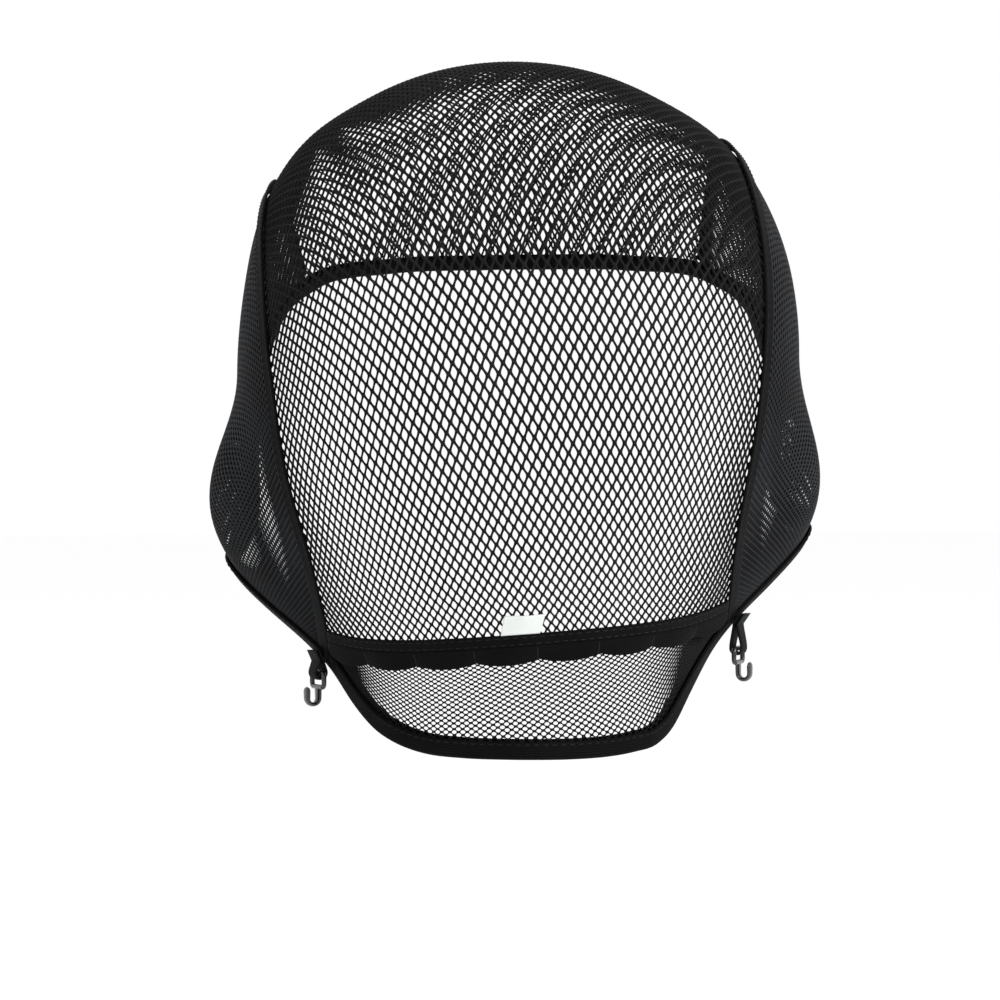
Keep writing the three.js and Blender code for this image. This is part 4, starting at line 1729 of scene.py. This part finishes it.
def rod(path: Array, wide: Array, thick: Array, sides: int, ring: bool = False) -> bmesh.types.BMesh:
    """A bar with an oval section along a path that lies in the plane of its first two axes.

    Args:
        path: places along its middle, x and y.
        wide: half its width out of the plane at each place.
        thick: half its thickness in the plane at each place.
        sides: how many sides its section has.
        ring: whether the path ends where it starts.

    Returns:
        The bar, with its ends closed.
    """
    angle = np.linspace(0, 2 * math.pi, sides + 1)
    plane = path[:, None] + sideways(path, ring)[:, None] * (np.cos(angle)[None] * thick[:, None])[..., None]
    depth = np.sin(angle)[None] * wide[:, None]
    return closed(laid(np.concatenate([plane, depth[..., None]], axis=-1)))


def smooth_path(corners: Array, steps: int) -> Array:
    """Smooth path through a few places, by a Catmull-Rom curve.

    Args:
        corners: the places.
        steps: how many steps the way from each place to the next takes.

    Returns:
        The path.
    """
    padded = np.concatenate([2 * corners[:1] - corners[1:2], corners, 2 * corners[-1:] - corners[-2:-1]])
    spans = []
    for i in range(1, len(padded) - 2):
        a, b, c, d = padded[i - 1:i + 3]
        t = np.linspace(0, 1, steps, endpoint=False)[:, None]
        curve = b + t * (c - a) / 2 + t ** 2 * (2 * a - 5 * b + 4 * c - d) / 2
        spans.append(curve + t ** 3 * (3 * b - a - 3 * c + d) / 2)
    return np.concatenate(spans + [corners[-1:]])


# One leaf of a tab, from its sewn end down: millimetres out from the tab's middle, and height as a share
# of the overlap above the cap's edge and of the hook's drop below it.
TAB_LEAF = np.array([(0.5, 1), (0.5, 0.5), (0.5, 0), (0.55, -0.1), (0.95, -0.4), (1.5, -0.8)])


@dataclass
class CornerFitting:
    """Elastic tab at a nape corner, folded round the top bar of its hook."""

    lines: CapLines
    side: int
    strap_length: float = 9
    strap_tuck: float = 3.5
    strap_wall: float = 0.9
    hook_bar: float = 1.6
    eye_height: float = 4
    hook_length: float = 9.6
    eye_corner: float = 1.2
    eye_share: float = 0.9
    eye_sides: int = 12
    corner_places: int = 7
    curl: float = 1.7
    tip: float = 3.4
    blade_wall: float = 1.3
    blade_width: float = 4.6
    blade_waist: float = 0.22
    blade_bite: float = 0.4
    blade_steps: int = 8
    blade_sides: int = 14
    blunt_reach: float = 1.6
    fold_places: int = 13
    leaf_steps: int = 3
    narrowing: float = 0.18

    @cached_property
    def frame(self) -> CornerFrame:
        """The corner's own directions."""
        return CornerFrame(self.lines, self.side)

    @property
    def bar_drop(self) -> float:
        """Drop of the hook's top bar below the cap's edge."""
        hanging = self.strap_length - (self.strap_tuck if self.side == LEFT else 0)
        return hanging - self.hook_bar / 2 - self.lines.layer_gap - self.frame.wall

    def tab(self) -> bpy.types.Object:
        """Makes the tab as one folded strip.

        Returns:
            The piece.
        """
        drop, width = self.bar_drop, self.frame.strap_width
        radius = self.hook_bar / 2 + self.lines.layer_gap + self.frame.wall / 2
        turn = np.radians(np.linspace(180, 360, self.fold_places))
        fold = np.stack([radius * np.cos(turn), -drop + radius * np.sin(turn)], axis=-1)
        leaf = TAB_LEAF * np.where(TAB_LEAF[:, 1:] > 0, [1, self.frame.overlap], [1, drop])
        path = smooth_path(np.concatenate([leaf * [-1, 1], fold, leaf[::-1]]), self.leaf_steps)
        section = rounded_section(1, -0.5, 0.5, square=4)
        taper = 1 - self.narrowing + self.narrowing * np.clip((path[:, 1] + drop) / drop, 0, 1)
        plane = path[:, None] + sideways(path)[:, None] * (section[:, 1] * self.strap_wall)[..., None]
        depth = section[:, 0] * (taper * width)[:, None]
        points = self.frame.place(np.concatenate([plane, depth[..., None]], axis=-1))
        name = SIDE_NAMES[self.side]
        strip = Strip(
            f"elastic_tab_cloth_{name}", Finish.ELASTIC, "elastic", f"elastic_tab_{name}", run_length(path),
        )
        return strip.make(points, width)

    def eye(self) -> bmesh.types.BMesh:
        """Makes the hook's frame, which the tab runs through, with round bars and corners.

        Returns:
            The frame.
        """
        bar = self.hook_bar / 2
        half = np.array([self.frame.strap_width / 2 + self.lines.layer_gap + bar, self.eye_height / 2])
        middle = np.array([0, -self.bar_drop - half[1]])
        ring = []
        for x, y, start in ((1, 1, 0), (-1, 1, 90), (-1, -1, 180), (1, -1, 270)):
            angle = np.radians(start + np.linspace(0, 90, self.corner_places))
            centre = middle + (half - self.eye_corner) * [x, y]
            ring.append(centre + self.eye_corner * np.stack([np.cos(angle), np.sin(angle)], axis=-1))
        ring = np.concatenate([*ring, ring[0][:1]])
        thick = np.full(len(ring), bar * self.eye_share)
        eye = rod(ring, thick, thick, self.eye_sides, ring=True)
        move(eye, self.frame.place(coordinates(eye)[:, [2, 1, 0]]))
        return eye

    def blade(self) -> bmesh.types.BMesh:
        """Makes the hook's blade, which hangs from its frame and curls outwards and up.

        Returns:
            The blade.
        """
        curl, steps = self.curl, self.blade_steps
        top = -self.bar_drop - self.eye_height + self.hook_bar / 2 * self.blade_bite
        level = -self.bar_drop - self.hook_length + curl + self.blade_wall / 2
        angle = np.radians(np.linspace(180, 360, 2 * steps + 1))
        path = np.concatenate([
            np.stack([np.zeros(steps + 1), np.linspace(top, level, steps + 1, endpoint=False)], axis=-1),
            np.stack([curl + curl * np.cos(angle), level + curl * np.sin(angle)], axis=-1),
            np.stack([np.full(steps, 2 * curl), level + np.linspace(0, self.tip, steps + 1)[1:]], axis=-1),
        ])
        run = distances(path)
        left = np.clip((run[-1] - run) / self.blunt_reach, 0, 1)
        blunt = np.sqrt(np.clip(1 - (1 - left) ** 2, 0, 1))
        blunt[0] = 0.0
        waist = 1 - self.blade_waist + self.blade_waist * np.cos(run / run[-1] * math.pi) ** 2
        wide, thick = blunt * waist * self.blade_width / 2, blunt * self.blade_wall / 2
        blade = rod(path, wide, thick, self.blade_sides)
        move(blade, self.frame.place(coordinates(blade)))
        return blade

    def hook(self) -> bpy.types.Object:
        """Makes the hook, as a frame with a curled blade below it.

        Returns:
            The piece.
        """
        bm = self.eye()
        join(bm, self.blade())
        bmesh.ops.recalc_face_normals(bm, faces=bm.faces[:])
        name = SIDE_NAMES[self.side]
        piece = publish(bm, f"hook_bent_{name}", Finish.GLOSS)
        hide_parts(f"hook_{name}")
        return piece

    def make(self) -> list[bpy.types.Object]:
        """Makes the tab and its hook."""
        return [self.tab(), self.hook()]


@dataclass
class Stitches:
    """Short stitches along the tapes and bindings, and bar tacks between the loops."""

    lines: CapLines
    tapes: Tapes
    thread: float = 0.16
    pitch: float = 2.4
    length: float = 1.7
    back_inset: float = 0.7
    back_share: float = 0.99
    nape_inset: float = 0.9
    face_inset: float = 0.8
    corner_clear: float = 2
    seam_row: float = 1.6
    seam_turns: tuple[float, float] = (24, 222)
    tack_places: int = 9
    tack_ends: tuple[float, float] = (0.08, 0.92)
    tack_zigzag: float = 0.0035
    samples: int = 200

    def lay(self, bm: bmesh.types.BMesh, starts: Array, ends: Array) -> None:
        """Adds one stitch from each start to each end.

        Args:
            bm: the stitches so far.
            starts: where the new ones start.
            ends: where they end.
        """
        few = bmesh.new()
        for start, end in zip(starts, ends):
            along = Vector(end - start)
            turn = along.to_track_quat("Z", "Y").to_matrix().to_4x4()
            stretch = Matrix.Diagonal((self.thread, self.thread, along.length / 2, 1))
            matrix = Matrix.Translation(Vector((start + end) / 2)) @ turn @ stretch
            bmesh.ops.create_uvsphere(few, u_segments=6, v_segments=4, radius=1, matrix=matrix)
        join(bm, few)

    def row(
        self, bm: bmesh.types.BMesh, curve: Curve, ends: tuple[float, float], distance: float, lift: float,
    ) -> None:
        """Adds a row of stitches beside a curve.

        Args:
            bm: the stitches so far.
            curve: a curve on the head.
            ends: places along it where the row starts and ends.
            distance: how far the row lies up or inwards from it.
            lift: how far it lies off the head.
        """
        count = int(run_length(curve(np.linspace(*ends, self.samples))) / self.pitch)
        at = evenly(curve, *ends, 2 * count)
        p = self.lines.beside(curve, at, np.full_like(at, distance), lift)
        middle = (p[0:-1:2] + p[1::2]) / 2
        half = unit(p[1::2] - p[0:-1:2]) * self.length / 2
        self.lay(bm, middle - half, middle + half)

    def tacks(self, bm: bmesh.types.BMesh, lift: float) -> None:
        """Adds the bar tacks that hold the loop tape down.

        Args:
            bm: the stitches so far.
            lift: how far the tacks lie off the head.
        """
        lines, tapes = self.lines, self.tapes
        top = -tapes.back_height / 2 - lines.layer_gap
        ends = [lines.tape_end(side, top - tapes.loop_height / 2) for side in SIDE_NAMES]
        down = top - np.linspace(*self.tack_ends, self.tack_places) * tapes.loop_height
        zigzag = np.where(np.arange(self.tack_places) % 2, 1, -1) * self.tack_zigzag
        for share in np.arange(1, tapes.loop_count) / tapes.loop_count:
            p = lines.beside(lines.tape, lerp(ends[0], ends[1], share) + zigzag, down, lift)
            self.lay(bm, p[:-1], p[1:])

    def make(self) -> bpy.types.Object:
        """Makes all the stitches.

        Returns:
            They are one piece.
        """
        lines, tapes = self.lines, self.tapes
        bm = bmesh.new()
        lift = lines.tape_lift + tapes.visual_wall
        half = tapes.back_height / 2 - self.back_inset
        for distance in (-half, half):
            ends = tuple(lines.tape_end(side, distance) * self.back_share for side in SIDE_NAMES)
            self.row(bm, lines.tape, ends, distance, lift)
        self.tacks(bm, lift)
        left, right = lines.corners[LEFT], lines.corners[RIGHT]
        nape = (left + self.corner_clear, right - self.corner_clear)
        face = (right + self.corner_clear, left + 360 - self.corner_clear)
        self.row(bm, lines.edge, nape, lines.nape_binding_width - self.nape_inset, lift)
        self.row(bm, lines.edge, face, lines.face_binding_width - self.face_inset, lift)
        for side in SIDE_NAMES:
            for distance in (-self.seam_row, self.seam_row):
                self.row(bm, lines.seam(side), self.seam_turns, distance, lift)
        piece = publish(bm, "stitches", Finish.THREAD)
        return piece


@dataclass(frozen=True)
class Lamp:
    """A soft square light that faces the cap, with its place and size in metres and its power in watts."""

    name: str
    place: tuple[float, float, float]
    size: float
    power: float


@dataclass
class Studio:
    """Pale floor, white surroundings, soft lights and the camera."""

    target: tuple[float, float, float] = (-3.74, 0, -126.7)
    distance: float = 1200
    azimuth: float = 0.61
    elevation: float = 0.77
    roll: float = -0.24
    lens: float = 147.7
    sensor: float = 36
    nearest_seen: float = 50
    farthest_seen: float = 50000
    floor_level: float = -330
    floor_radius: float = 9000
    floor_sides: int = 96
    brightness: float = 1
    lamps: tuple[Lamp, ...] = (
        Lamp("key", (1.1, -0.9, 0.6), 0.7, 26),
        Lamp("fill", (-0.9, -1.3, 0.3), 0.9, 4),
    )

    def camera(self) -> None:
        """Sets the camera behind the cap, as far round and up as in the photograph."""
        azimuth, elevation = math.radians(self.azimuth), math.radians(self.elevation)
        level = math.cos(elevation)
        ahead = Vector((math.sin(azimuth) * level, math.cos(azimuth) * level, -math.sin(elevation)))
        data = bpy.data.cameras.new("camera")
        data.lens = self.lens
        data.sensor_width = self.sensor
        data.clip_start, data.clip_end = self.nearest_seen * MM, self.farthest_seen * MM
        camera = bpy.data.objects.new("camera", data)
        camera.location = (Vector(self.target) - ahead * self.distance) * MM
        camera.rotation_mode = "QUATERNION"
        turn = ahead.to_track_quat("-Z", "Y")
        camera.rotation_quaternion = turn @ Matrix.Rotation(math.radians(self.roll), 3, "Z").to_quaternion()
        bpy.context.scene.collection.objects.link(camera)
        bpy.context.scene.camera = camera

    def light(self, lamp: Lamp) -> None:
        """Adds a light.

        Args:
            lamp: what it is like.
        """
        data = bpy.data.lights.new(lamp.name, "AREA")
        data.size = lamp.size
        data.energy = lamp.power
        light = bpy.data.objects.new(lamp.name, data)
        light.location = lamp.place
        light.rotation_mode = "QUATERNION"
        light.rotation_quaternion = (Vector(self.target) * MM - light.location).to_track_quat("-Z", "Y")
        bpy.context.scene.collection.objects.link(light)

    def floor(self) -> None:
        """Adds the floor."""
        bm = bmesh.new()
        bmesh.ops.create_circle(bm, cap_ends=True, segments=self.floor_sides, radius=self.floor_radius)
        bmesh.ops.translate(bm, vec=(0, 0, self.floor_level), verts=bm.verts[:])
        bmesh.ops.scale(bm, vec=(MM, MM, MM), verts=bm.verts[:])
        mesh = bpy.data.meshes.new("floor")
        bm.to_mesh(mesh)
        bm.free()
        mesh.materials.append(Finish.FLOOR.material)
        floor = bpy.data.objects.new("floor", mesh)
        bpy.context.scene.collection.objects.link(floor)

    def surroundings(self) -> None:
        """Lights the scene evenly from all round."""
        world = bpy.data.worlds.new("white_room")
        world.use_nodes = True
        background = next(node for node in world.node_tree.nodes if node.type == "BACKGROUND")
        background.inputs["Color"].default_value = (1, 1, 1, 1)
        background.inputs["Strength"].default_value = self.brightness
        bpy.context.scene.world = world

    def make(self) -> None:
        """Sets up the whole studio."""
        self.camera()
        self.floor()
        self.surroundings()
        for lamp in self.lamps:
            self.light(lamp)
        bpy.context.scene.view_settings.view_transform = "Standard"


def main() -> None:
    """Builds the cap's sub-assemblies in order."""
    logging.basicConfig(level=logging.INFO, format="%(message)s")
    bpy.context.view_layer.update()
    lines = CapLines()
    tapes = Tapes(lines)
    Studio().make()
    pieces = CrownNet(
        "crown_net_yarn", lines, columns=54, rows=66, finish=Finish.CROWN_YARN, slot="crown_net",
        node="crown_net",
    ).make()
    pieces += NapeNet(
        "nape_net_yarn", lines, columns=60, rows=22, finish=Finish.NAPE_YARN, slot="nape_net",
        node="nape_net", thread=0.5, shape=HoleShape.ROUND, cuts=1, hole_width=0.56, hole_height=0.6,
        bulge=1.9,
    ).make()
    for side, name in SIDE_NAMES.items():
        pieces += SideNet(
            f"side_net_yarn_{name}", lines, columns=45, rows=113, finish=Finish.SIDE_YARN, slot="side_net",
            node=f"side_net_{name}", thread=0.42, side=side,
        ).make()
    pieces += tapes.make()
    pieces += Bindings(lines).make()
    pieces.append(SizeTag(lines).make())
    for side in SIDE_NAMES:
        pieces += CornerFitting(lines, side).make()
    pieces.append(Stitches(lines, tapes).make())
    log.info("%d pieces", len(pieces))
    bpy.context.view_layer.update()


if __name__ == "__main__":
    main()
